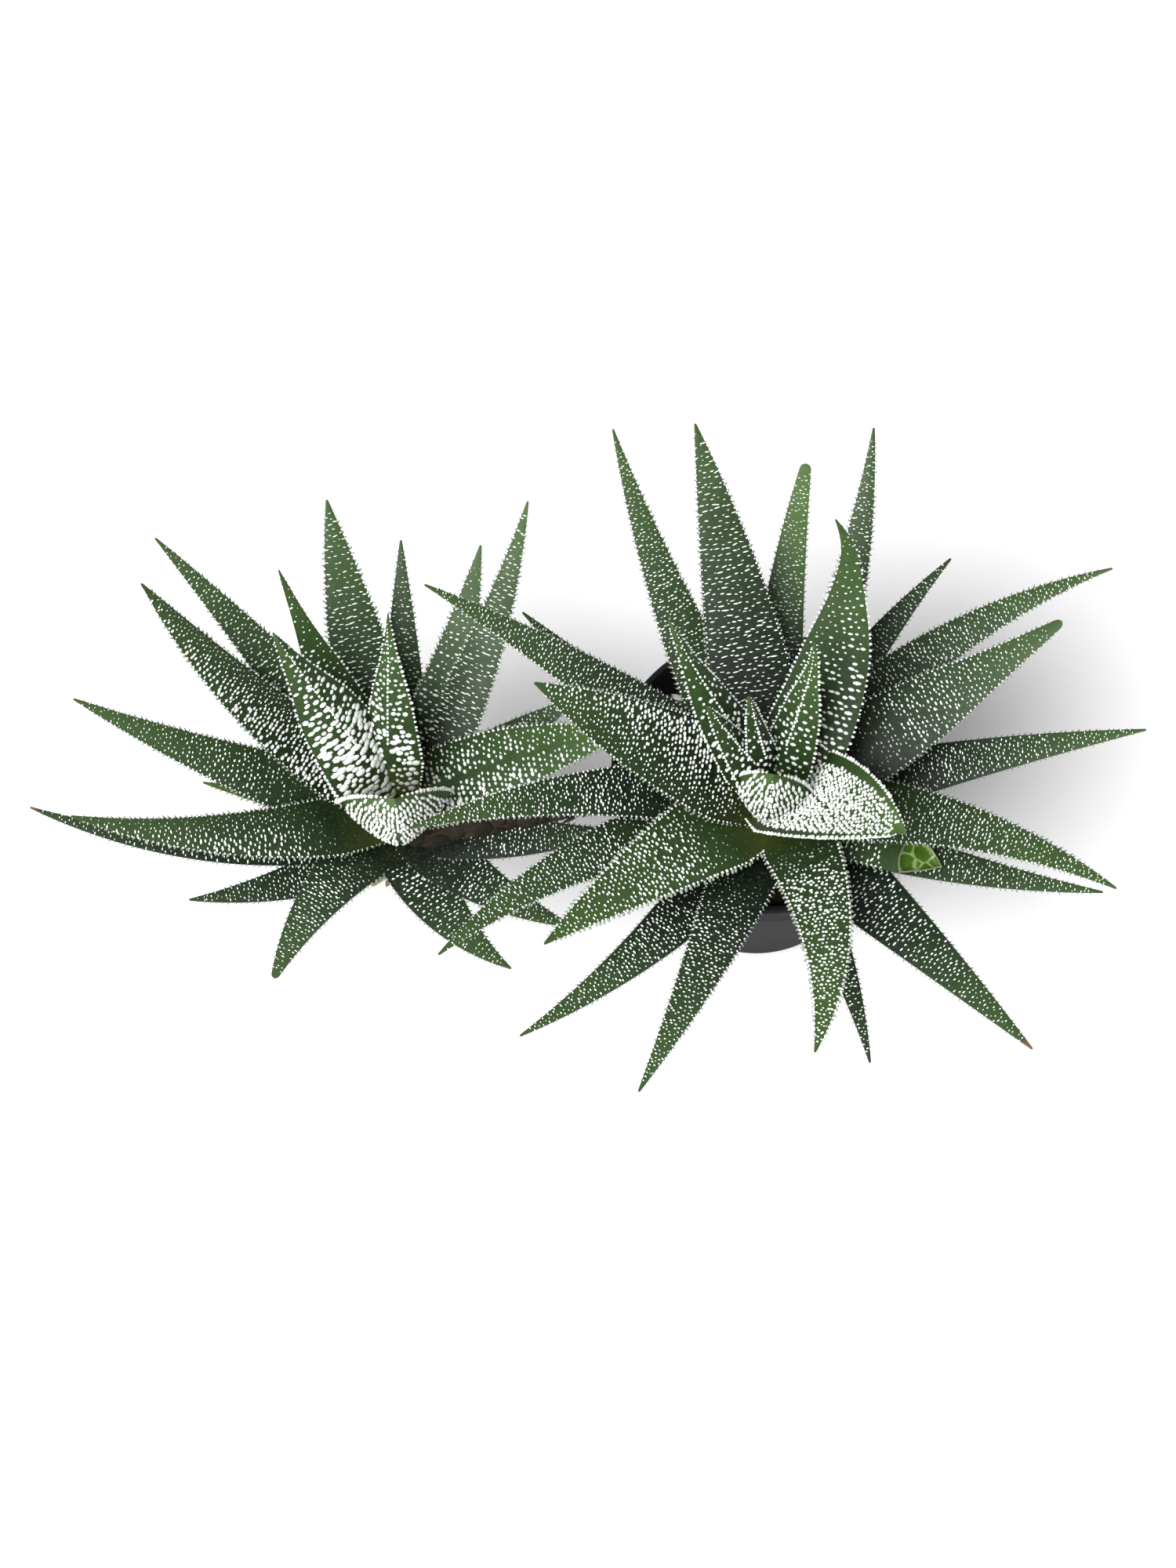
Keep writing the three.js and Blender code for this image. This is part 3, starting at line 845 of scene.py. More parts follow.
class TubeBlank:
    """A straight tube with a tip, modelled once, whose copies are laid along leaves and stems."""

    SEAM = 0.25

    def __init__(self, rows: int, sides: int) -> None:
        """Extrudes the tube.

        Args:
            rows: The number of rings.
            sides: The number of points round each ring.
        """
        self.rows, self.sides = rows, sides
        deselect()
        bpy.ops.mesh.primitive_circle_add(vertices=sides, radius=1.0, fill_type="NGON")
        with editing():
            bpy.ops.mesh.select_mode(type="FACE")
            bpy.ops.mesh.select_all(action="SELECT")
            for _ in range(rows):
                bpy.ops.mesh.extrude_region_move(TRANSFORM_OT_translate={"value": (0, 0, 1)})
            bpy.ops.mesh.merge(type="CENTER")
            bpy.ops.mesh.select_all(action="SELECT")
            bpy.ops.mesh.normals_make_consistent(inside=False)
        piece = bpy.context.object
        co = np.array([v.co for v in piece.data.vertices])
        self.row = np.rint(co[:, 2]).astype(int)
        turn = np.arctan2(co[:, 1], co[:, 0]) / (2 * np.pi) * sides
        self.column = np.where(self.row == rows, 0, np.rint(turn).astype(int) % sides)
        self.mesh = piece.data
        bpy.data.objects.remove(piece)

    def laid(
        self, rings: np.ndarray, tip: np.ndarray, lengths: np.ndarray, tint: np.ndarray
    ) -> bpy.types.Object:
        """Copies the tube on to rings of points.

        Args:
            rings: The points of each ring, in millimetres.
            tip: The point that closes the tube, in millimetres.
            lengths: The share of the length at each ring, for the map.
            tint: A colour for each ring, kept as the attribute Tone.

        Returns:
            The object, with the map Leaf round and along it.
        """
        mesh = self.mesh.copy()
        ended = self.row == self.rows
        safe = np.minimum(self.row, self.rows - 1)
        co = np.where(ended[:, None], tip, rings[safe, self.column])
        mesh.vertices.foreach_set("co", (co * MM).astype(np.float32).ravel())
        attribute = mesh.attributes.new("Tone", "FLOAT_COLOR", "POINT")
        shade = np.concatenate([tint[safe], np.ones((len(co), 1))], axis=1)
        attribute.data.foreach_set("color", shade.astype(np.float32).ravel())
        chart = mesh.uv_layers.new(name="Leaf")
        v = np.append(lengths, lengths[-1])[self.row]
        loops = np.zeros(len(mesh.loops), dtype=int)
        mesh.loops.foreach_get("vertex_index", loops)
        column = self.column[loops].astype(float)
        for polygon in mesh.polygons:
            span = slice(polygon.loop_start, polygon.loop_start + polygon.loop_total)
            if polygon.loop_total <= 4 and column[span].max() > self.sides * (1 - self.SEAM):
                column[span] = np.where(column[span] < self.sides * self.SEAM, self.sides, column[span])
        places = np.stack([column / self.sides, v[loops]], axis=-1)
        chart.data.foreach_set("uv", places.astype(np.float32).ravel())
        return in_scene("laid", mesh)


def joined(pieces: Sequence[bpy.types.Object], smooth_to: float) -> bpy.types.Object:
    """Joins pieces into one mesh and shades it smooth up to an angle in degrees."""
    pick(pieces[0])
    for piece in pieces:
        piece.select_set(True)
    bpy.ops.object.join()
    piece = bpy.context.object
    pick(piece)
    bpy.ops.object.shade_smooth_by_angle(angle=math.radians(smooth_to))
    return piece


# Materials


class Graph:
    """A node tree with short calls for adding and joining nodes."""

    def __init__(self, tree: bpy.types.NodeTree) -> None:
        """Wraps a tree."""
        self.tree = tree

    def add(
        self, kind: str, inputs: dict[str | int, object] | None = None, **settings: object
    ) -> bpy.types.Node:
        """Adds a node.

        Args:
            kind: The node's type.
            inputs: A value or a socket to join for each input.
            **settings: The node's own settings.

        Returns:
            The node.
        """
        node = self.tree.nodes.new(kind)
        for name, value in settings.items():
            setattr(node, name, value)
        for key, value in (inputs or {}).items():
            self.put(node.inputs[key], value)
        return node

    def put(self, socket: bpy.types.NodeSocket, value: object) -> None:
        """Sets an input to a value or joins it to an output."""
        if isinstance(value, bpy.types.NodeSocket):
            self.tree.links.new(value, socket)
        elif isinstance(value, tuple) and len(value) == 3 and socket.type == "RGBA":
            socket.default_value = (*value, 1.0)
        else:
            socket.default_value = value

    def mix(self, factor: object, first: object, second: object, blend: str = "MIX") -> bpy.types.NodeSocket:
        """Mixes two colours and returns the result."""
        node = self.add("ShaderNodeMix", data_type="RGBA", blend_type=blend)
        self.put(node.inputs[0], factor)
        self.put(node.inputs[6], first)
        self.put(node.inputs[7], second)
        return node.outputs[2]

    def sum(self, operation: str, *values: object, clamp: bool = False) -> bpy.types.NodeSocket:
        """Works out one step of arithmetic and returns the result."""
        node = self.add("ShaderNodeMath", operation=operation, use_clamp=clamp)
        for socket, value in zip(node.inputs, values):
            self.put(socket, value)
        return node.outputs[0]

    def ramp(self, value: object, *stops: tuple[float, Colour]) -> bpy.types.NodeSocket:
        """Looks a value up in a row of colours and returns the colour."""
        node = self.add("ShaderNodeValToRGB", {0: value})
        elements = node.color_ramp.elements
        while len(elements) < len(stops):
            elements.new(0.5)
        for element, (position, colour) in zip(elements, stops):
            element.position = position
            element.color = (*colour, 1.0)
        return node.outputs[0]

    def noise(
        self, scale: object, detail: float, vector: object, roughness: float = 0.5
    ) -> bpy.types.NodeSocket:
        """Adds a noise pattern and returns its value."""
        inputs = {"Vector": vector, "Scale": scale, "Detail": detail, "Roughness": roughness}
        return self.add("ShaderNodeTexNoise", inputs).outputs[0]

    def spread(
        self,
        value: object,
        given: tuple[float, float],
        wanted: tuple[float, float] = (0.0, 1.0),
        **settings: object,
    ) -> bpy.types.NodeSocket:
        """Spreads a value from one range over another and returns the result."""
        inputs = {0: value, 1: given[0], 2: given[1], 3: wanted[0], 4: wanted[1]}
        return self.add("ShaderNodeMapRange", inputs, **settings).outputs[0]

    def use(self, group: bpy.types.NodeTree, **inputs: object) -> bpy.types.Node:
        """Places a group with its own values, given by the names of its inputs."""
        node = self.add("ShaderNodeGroup", node_tree=group)
        for name, value in inputs.items():
            self.put(node.inputs[name.replace("_", " ")], value)
        return node

    def coordinates(self) -> bpy.types.NodeSocket:
        """Returns the Object coordinates."""
        return self.add("ShaderNodeTexCoord").outputs["Object"]


def new_group(
    name: str, inputs: dict[str, tuple[str, object]], outputs: dict[str, str]
) -> tuple[Graph, dict[str, bpy.types.NodeSocket], bpy.types.Node]:
    """Starts a shader node group.

    Args:
        name: The group's name.
        inputs: The socket type and the default value for each input.
        outputs: The socket type for each output.

    Returns:
        The group's graph, what it is given by name and its output node.
    """
    tree = bpy.data.node_groups.new(name, "ShaderNodeTree")
    for label, (kind, value) in inputs.items():
        socket = tree.interface.new_socket(label, in_out="INPUT", socket_type=kind)
        if value is not None:
            socket.default_value = value
    for label, kind in outputs.items():
        tree.interface.new_socket(label, in_out="OUTPUT", socket_type=kind)
    graph = Graph(tree)
    given = graph.add("NodeGroupInput").outputs
    return graph, {label: given[label] for label in inputs}, graph.add("NodeGroupOutput")


FLOAT, COLOUR, VECTOR = "NodeSocketFloat", "NodeSocketColor", "NodeSocketVector"
GREY = (0.5, 0.5, 0.5, 1.0)


def grain_group() -> bpy.types.NodeTree:
    """Builds the group that gives a surface its fine grain, as a height and as a shade around one half."""
    graph, given, out = new_group(
        "Fine grain",
        {"Vector": (VECTOR, None), "Scale": (FLOAT, 900.0), "Coarse": (FLOAT, 0.3)},
        {"Height": FLOAT, "Shade": FLOAT},
    )
    fine = graph.noise(given["Scale"], 3.0, given["Vector"])
    wide = graph.noise(graph.sum("MULTIPLY", given["Scale"], 0.12), 2.0, given["Vector"])
    height = graph.add("ShaderNodeMix", {0: given["Coarse"], 2: fine, 3: wide}, data_type="FLOAT").outputs[0]
    graph.put(out.inputs["Height"], height)
    graph.put(out.inputs["Shade"], wide)
    return graph.tree


def mottle_group() -> bpy.types.NodeTree:
    """Builds the group that varies a colour in soft patches between a darker and a lighter one."""
    graph, given, out = new_group(
        "Mottle",
        {"Vector": (VECTOR, None), "Colour": (COLOUR, GREY), "Scale": (FLOAT, 60.0), "Amount": (FLOAT, 0.2)},
        {"Colour": COLOUR},
    )
    patches = graph.noise(given["Scale"], 4.0, given["Vector"])
    strength = graph.sum("MULTIPLY", given["Amount"], 4.0)
    swing = graph.sum("MULTIPLY", graph.sum("SUBTRACT", patches, 0.5), strength)
    factor = graph.sum("ADD", swing, 1.0)
    shade = graph.add("ShaderNodeCombineColor", {0: factor, 1: factor, 2: factor}).outputs[0]
    graph.put(out.inputs["Colour"], graph.mix(1.0, given["Colour"], shade, "MULTIPLY"))
    return graph.tree


def dust_group() -> bpy.types.NodeTree:
    """Builds the group that lays dust or a stain over a colour, more on faces that point up."""
    graph, given, out = new_group(
        "Dust",
        {
            "Vector": (VECTOR, None),
            "Colour": (COLOUR, GREY),
            "Dust colour": (COLOUR, (0.3, 0.25, 0.2, 1.0)),
            "Scale": (FLOAT, 120.0),
            "Amount": (FLOAT, 0.3),
        },
        {"Colour": COLOUR, "Mask": FLOAT},
    )
    specks = graph.noise(given["Scale"], 6.0, given["Vector"], 0.7)
    normal = graph.add("ShaderNodeNewGeometry").outputs["Normal"]
    height = graph.add("ShaderNodeSeparateXYZ", {0: normal}).outputs["Z"]
    on_upright, on_level = 0.7, 1.0
    upward = graph.sum("MULTIPLY_ADD", height, on_level - on_upright, on_upright)
    spots = graph.spread(specks, (0.45, 0.75), interpolation_type="SMOOTHSTEP")
    mask = graph.sum("MULTIPLY", graph.sum("MULTIPLY", spots, given["Amount"]), upward, clamp=True)
    graph.put(out.inputs["Colour"], graph.mix(mask, given["Colour"], given["Dust colour"]))
    graph.put(out.inputs["Mask"], mask)
    return graph.tree


class Effects:
    """The node groups that the materials share, each built once."""

    def __init__(self) -> None:
        """Builds the groups."""
        self.grain = grain_group()
        self.mottle = mottle_group()
        self.dust = dust_group()


@dataclass(frozen=True)
class Finish:
    """What every finish has: a name, the plain numbers of its gloss, and a bump with its depth in metres."""

    effects: Effects
    name: str = "finish"
    roughness: float = 0.5
    specular: float = 0.3
    bump: float = 0.1
    bump_depth: float = 0.0001

    def start(self) -> tuple[bpy.types.Material, Graph, bpy.types.Node]:
        """Starts a material.

        Returns:
            The material, its graph and its shader, joined to the output.
        """
        material = bpy.data.materials.new(self.name)
        material.use_nodes = True
        material.node_tree.nodes.clear()
        graph = Graph(material.node_tree)
        gloss = {"Roughness": self.roughness, "Specular IOR Level": self.specular}
        shader = graph.add("ShaderNodeBsdfPrincipled", gloss)
        graph.add("ShaderNodeOutputMaterial", {"Surface": shader.outputs[0]})
        return material, graph, shader

    def relief(self, graph: Graph, shader: bpy.types.Node, height: object) -> None:
        """Gives the shader a bump from a height."""
        inputs = {"Strength": self.bump, "Distance": self.bump_depth, "Height": height}
        graph.put(shader.inputs["Normal"], graph.add("ShaderNodeBump", inputs).outputs[0])


@dataclass(frozen=True)
class LeafSkin(Finish):
    """Succulent skin: dark and bluish on old leaves, fresh green on young ones, lighter towards the tip.

    stations are the shares of the leaf's length at which the colours of old and young lie. The old colours
    are nearly black at the base and darkened all along, as painted shade where the leaves crowd at the crown
    and where lower leaves lie under upper ones, over the old leaves' own dark bluish green. fleck and dry
    are the colours of its fine flecks and of a withered tip. The grain makes it rougher by up to
    rough_swing, starting rough_dip below roughness.
    """

    name: str = "haworthia_leaf_skin"
    roughness: float = 0.5
    specular: float = 0.22
    bump: float = 0.35
    bump_depth: float = 0.00012
    stations: tuple[float, ...] = (0.06, 0.2, 0.56, 0.96)
    # Painted shade: nearly black at the first two stations and darkened all along, over the old leaves' own
    # dark bluish green
    old: tuple[Colour, ...] = (
        (0.0006, 0.0012, 0.001), (0.0016, 0.003, 0.0022), (0.009, 0.0175, 0.0095), (0.023, 0.045, 0.016)
    )
    young: tuple[Colour, ...] = (
        (0.080, 0.090, 0.012), (0.022, 0.050, 0.011), (0.044, 0.094, 0.022), (0.066, 0.128, 0.031)
    )
    fleck: Colour = (0.10, 0.15, 0.08)
    dry: Colour = (0.16, 0.085, 0.045)
    rough_swing: float = 0.25
    rough_dip: float = 0.12

    def build(self) -> bpy.types.Material:
        """Builds the material."""
        material, graph, shader = self.start()
        where = graph.coordinates()
        chart = graph.add("ShaderNodeUVMap", uv_map="Leaf").outputs[0]
        along = graph.add("ShaderNodeSeparateXYZ", {0: chart}).outputs["Y"]
        attribute = graph.add("ShaderNodeAttribute", attribute_name="Tone").outputs["Color"]
        tone, withered, _ = graph.add("ShaderNodeSeparateColor", {0: attribute}).outputs
        # The old ramp carries painted shade at the leaf bases and on the lower leaves
        old = graph.ramp(along, *zip(self.stations, self.old))
        young = graph.ramp(along, *zip(self.stations, self.young))
        colour = graph.mix(tone, old, young)
        mottled = graph.use(self.effects.mottle, Vector=where, Colour=colour, Scale=90.0, Amount=0.16)
        flecks = graph.spread(graph.noise(1400.0, 2.0, where), (0.5, 0.8), (0.0, 0.2))
        colour = graph.mix(flecks, mottled.outputs[0], self.fleck)
        graph.put(shader.inputs["Base Color"], graph.mix(withered, colour, self.dry))
        grain = graph.use(self.effects.grain, Vector=where, Scale=1500.0, Coarse=0.35)
        self.relief(graph, shader, grain.outputs["Height"])
        lowest = self.roughness - self.rough_dip
        rough = graph.sum("MULTIPLY_ADD", grain.outputs["Shade"], self.rough_swing, lowest)
        graph.put(shader.inputs["Roughness"], rough)
        return material


@dataclass(frozen=True)
class TubercleSkin(Finish):
    """The pearly white of the tubercles and teeth, which takes on the leaf's colour at its foot.

    foot is the part of the height over which it does. Near a leaf's base the green share of Tone also turns
    whole tubercles to old_skin and young_skin, as painted shade.
    """

    name: str = "haworthia_tubercle"
    roughness: float = 0.42
    specular: float = 0.35
    bump: float = 0.2
    bump_depth: float = 0.00005
    pearl: Colour = (0.90, 0.93, 0.88)
    dull: Colour = (0.52, 0.59, 0.50)
    old_skin: Colour = (0.009, 0.018, 0.012)
    young_skin: Colour = (0.07, 0.115, 0.03)
    foot: tuple[float, float] = (0.04, 0.3)

    def build(self) -> bpy.types.Material:
        """Builds the material."""
        material, graph, shader = self.start()
        where = graph.coordinates()
        attribute = graph.add("ShaderNodeAttribute", attribute_name="Tone")
        tone, dull, green = graph.add("ShaderNodeSeparateColor", {0: attribute.outputs["Color"]}).outputs
        skin = graph.mix(tone, self.old_skin, self.young_skin)
        foot = graph.spread(attribute.outputs["Alpha"], self.foot, (1.0, 0.0))
        colour = graph.mix(graph.sum("MAXIMUM", green, foot), graph.mix(dull, self.pearl, self.dull), skin)
        mottled = graph.use(self.effects.mottle, Vector=where, Colour=colour, Scale=500.0, Amount=0.1)
        graph.put(shader.inputs["Base Color"], mottled.outputs[0])
        grain = graph.use(self.effects.grain, Vector=where, Scale=3000.0, Coarse=0.2)
        self.relief(graph, shader, grain.outputs["Height"])
        return material


@dataclass(frozen=True)
class BreakFace(Finish):
    """The wet-looking flesh inside a broken leaf, with pale strands."""

    name: str = "haworthia_broken_flesh"
    roughness: float = 0.22
    specular: float = 0.5
    bump: float = 0.3
    bump_depth: float = 0.0004
    flesh: Colour = (0.045, 0.105, 0.008)
    strand: Colour = (0.30, 0.42, 0.16)

    def build(self) -> bpy.types.Material:
        """Builds the material."""
        material, graph, shader = self.start()
        where = graph.coordinates()
        scaled = {"Vector": where, "Scale": 230.0}
        cells = graph.add("ShaderNodeTexVoronoi", scaled, feature="DISTANCE_TO_EDGE")
        line = graph.spread(cells.outputs["Distance"], (0.0, 0.06), (0.8, 0.0))
        mottled = graph.use(self.effects.mottle, Vector=where, Colour=self.flesh, Scale=220.0, Amount=0.3)
        graph.put(shader.inputs["Base Color"], graph.mix(line, mottled.outputs[0], self.strand))
        self.relief(graph, shader, line)
        return material


@dataclass(frozen=True)
class PotPlastic(Finish):
    """Thin moulded pot plastic: charcoal and matte, with a fine grain and a little dust on it."""

    name: str = "pot_plastic_charcoal"
    roughness: float = 0.72
    specular: float = 0.1
    bump: float = 0.25
    bump_depth: float = 0.00012
    charcoal: Colour = (0.011, 0.0115, 0.0135)
    dust: Colour = (0.10, 0.092, 0.08)
    dust_roughness: float = 0.35

    def build(self) -> bpy.types.Material:
        """Builds the material."""
        material, graph, shader = self.start()
        where = graph.coordinates()
        mottled = graph.use(self.effects.mottle, Vector=where, Colour=self.charcoal, Scale=70.0, Amount=0.1)
        colour = mottled.outputs[0]
        dusty = graph.use(
            self.effects.dust, Vector=where, Colour=colour, Dust_colour=self.dust, Scale=240.0, Amount=0.14
        )
        graph.put(shader.inputs["Base Color"], dusty.outputs["Colour"])
        grain = graph.use(self.effects.grain, Vector=where, Scale=1900.0, Coarse=0.15)
        self.relief(graph, shader, grain.outputs["Height"])
        rough = graph.sum("MULTIPLY_ADD", dusty.outputs["Mask"], self.dust_roughness, self.roughness)
        graph.put(shader.inputs["Roughness"], rough)
        return material


@dataclass(frozen=True)
class SoilCrumb(Finish):
    """Potting soil: dark fibrous peat in fine crumbs."""

    name: str = "potting_soil_peat"
    roughness: float = 0.95
    specular: float = 0.12
    bump: float = 0.9
    bump_depth: float = 0.0008
    damp: Colour = (0.018, 0.011, 0.007)
    fibre: Colour = (0.085, 0.055, 0.034)
    dust: Colour = (0.2, 0.16, 0.12)

    def build(self) -> bpy.types.Material:
        """Builds the material."""
        material, graph, shader = self.start()
        where = graph.coordinates()
        grain = graph.use(self.effects.grain, Vector=where, Scale=1100.0, Coarse=0.5)
        lump = graph.noise(420.0, 6.0, where, 0.7)
        colour = graph.mix(graph.spread(lump, (0.35, 0.7)), self.damp, self.fibre)
        dusty = graph.use(
            self.effects.dust, Vector=where, Colour=colour, Dust_colour=self.dust, Scale=700.0, Amount=0.4
        )
        graph.put(shader.inputs["Base Color"], dusty.outputs["Colour"])
        self.relief(graph, shader, graph.sum("ADD", grain.outputs["Height"], lump))
        return material


@dataclass(frozen=True)
class Grit(Finish):
    """Loose grains on the soil, each with its own colour from the attribute Tone."""

    name: str = "potting_soil_grit"
    roughness: float = 0.85
    specular: float = 0.2
    bump: float = 0.6
    bump_depth: float = 0.0003

    def build(self) -> bpy.types.Material:
        """Builds the material."""
        material, graph, shader = self.start()
        where = graph.coordinates()
        own = graph.add("ShaderNodeAttribute", attribute_name="Tone").outputs["Color"]
        mottled = graph.use(self.effects.mottle, Vector=where, Colour=own, Scale=900.0, Amount=0.25)
        graph.put(shader.inputs["Base Color"], mottled.outputs[0])
        grain = graph.use(self.effects.grain, Vector=where, Scale=1700.0, Coarse=0.3)
        self.relief(graph, shader, grain.outputs["Height"])
        return material


@dataclass(frozen=True)
class Bark(Finish):
    """The bark of a stem and the dry rim of a break: papery and ribbed along its length.

    ribs stretches the pattern round and along the map, and grain_share is how much the grain adds to it.
    The default pale and dark are browns darkened nearly to black, as painted shade where the stem runs
    under the leaves; the dry rim has its own colours.
    """

    name: str = "haworthia_withered_base"
    roughness: float = 0.85
    specular: float = 0.15
    bump: float = 0.8
    bump_depth: float = 0.0005
    # Painted shade: the stem's browns are darkened nearly to black
    pale: Colour = (0.055, 0.038, 0.024)
    dark: Colour = (0.010, 0.007, 0.004)
    dust: Colour = (0.05, 0.035, 0.022)
    ribs: Point = (60.0, 5.0, 1.0)
    grain_share: float = 0.4

    def build(self) -> bpy.types.Material:
        """Builds the material."""
        material, graph, shader = self.start()
        where = graph.coordinates()
        chart = graph.add("ShaderNodeUVMap", uv_map="Leaf").outputs[0]
        stretched = graph.add("ShaderNodeMapping", {"Vector": chart, "Scale": self.ribs}).outputs[0]
        ribs = graph.noise(1.0, 5.0, stretched, 0.6)
        colour = graph.mix(graph.spread(ribs, (0.3, 0.7)), self.dark, self.pale)
        dusty = graph.use(
            self.effects.dust, Vector=where, Colour=colour, Dust_colour=self.dust, Scale=260.0, Amount=0.5
        )
        graph.put(shader.inputs["Base Color"], dusty.outputs["Colour"])
        grain = graph.use(self.effects.grain, Vector=where, Scale=1200.0, Coarse=0.4)
        fine = graph.sum("MULTIPLY", grain.outputs["Height"], self.grain_share)
        self.relief(graph, shader, graph.sum("ADD", ribs, fine))
        return material


@dataclass(frozen=True)
class PaleFloor(Finish):
    """The plain pale floor."""

    name: str = "studio_floor"
    roughness: float = 0.9
    specular: float = 0.1
    colour: Colour = (0.93, 0.93, 0.93)

    def build(self) -> bpy.types.Material:
        """Builds the material."""
        material, graph, shader = self.start()
        graph.put(shader.inputs["Base Color"], self.colour)
        return material


class Materials:
    """Every material of the plant, built once."""

    def __init__(self) -> None:
        """Builds the shared effects and then the materials."""
        effects = Effects()
        self.leaf = LeafSkin(effects).build()
        self.tubercle = TubercleSkin(effects).build()
        self.flesh = BreakFace(effects).build()
        self.pot = PotPlastic(effects).build()
        self.soil = SoilCrumb(effects).build()
        self.grit = Grit(effects).build()
        # The stem's bark keeps the darkened browns, which are painted shade
        self.bark = Bark(effects).build()
        dry_rim = Bark(effects, name="haworthia_dry_rim", pale=(0.50, 0.50, 0.36), dark=(0.20, 0.17, 0.09))
        self.dry_rim = dry_rim.build()
        self.floor = PaleFloor(effects).build()


# The plant


@dataclass
class Growth:
    """The tubercles of one piece while they are laid out: places, scaled axes and colour channels."""

    centres: list[np.ndarray] = field(default_factory=list)
    axes: list[np.ndarray] = field(default_factory=list)
    tints: list[np.ndarray] = field(default_factory=list)

    def add(
        self, kept: np.ndarray, centres: np.ndarray, axes: Sequence[np.ndarray], tints: Sequence[np.ndarray]
    ) -> None:
        """Adds tubercles.

        Args:
            kept: Which of them stand.
            centres: Their feet, in millimetres.
            axes: Their three scaled axes, in millimetres.
            tints: The tone of their leaf, how dull they are and how much of the leaf's own colour they have.
        """
        self.centres.append(centres[kept])
        self.axes.append(np.stack([axis[kept] for axis in axes], axis=1))
        self.tints.append(np.stack(tints, axis=-1))

    def grown(self, stamp: Stamp, name: str) -> bpy.types.Object:
        """Makes one mesh of all the tubercles."""
        parts = (np.concatenate(part) for part in (self.centres, self.axes, self.tints))
        return stamp.copies(name, *parts)


@dataclass(frozen=True)
class BreakRing:
    """A ring of a hollow break: its share of the outline's size, its lift in millimetres and its material."""

    share: float
    lift: float
    slot: int


SKIN_SLOT, RIM_SLOT, FLESH_SLOT = 0, 1, 2
BREAK_RINGS = (
    BreakRing(1.0, 0.0, SKIN_SLOT),
    BreakRing(0.97, 0.2, RIM_SLOT),
    BreakRing(0.92, 0.16, RIM_SLOT),
    BreakRing(0.86, -0.2, FLESH_SLOT),
    BreakRing(0.62, -0.55, FLESH_SLOT),
    BreakRing(0.3, -0.7, FLESH_SLOT),
)


@dataclass(frozen=True)
class StemCourse:
    """The course of a stem, in millimetres.

    lengths and radii belong to the points that it is given by, and path and the three directions to even
    shares of its length.
    """

    lengths: np.ndarray
    radii: np.ndarray
    share: np.ndarray
    path: np.ndarray
    along: np.ndarray
    side: np.ndarray
    up: np.ndarray

    @classmethod
    def of(cls, stem: Stem, rows: int) -> StemCourse:
        """Works the course out from the stem's points and radii."""
        points = np.array([point for point, _ in stem], dtype=float)
        radii = np.array([radius for _, radius in stem], dtype=float)
        lengths = np.concatenate([[0.0], np.cumsum(np.linalg.norm(np.diff(points, axis=0), axis=1))])
        share = np.linspace(0, 1, rows)
        at = share * lengths[-1]
        path = np.stack([np.interp(at, lengths, points[:, k]) for k in range(3)], axis=-1)
        along = unit(np.gradient(path, axis=0))
        side = unit(np.cross(np.array([0.0, 1.0, 0.0]), along))
        return cls(lengths, radii, share, path, along, side, np.cross(along, side))

    def at(self, values: np.ndarray, s: np.ndarray) -> np.ndarray:
        """Returns the rows of values at the shares s of the length."""
        return np.stack([np.interp(s, self.share, values[:, k]) for k in range(3)], axis=-1)

    def radius(self, s: np.ndarray) -> np.ndarray:
        """Returns the radius at the shares s of the length."""
        return np.interp(s * self.lengths[-1], self.lengths, self.radii)


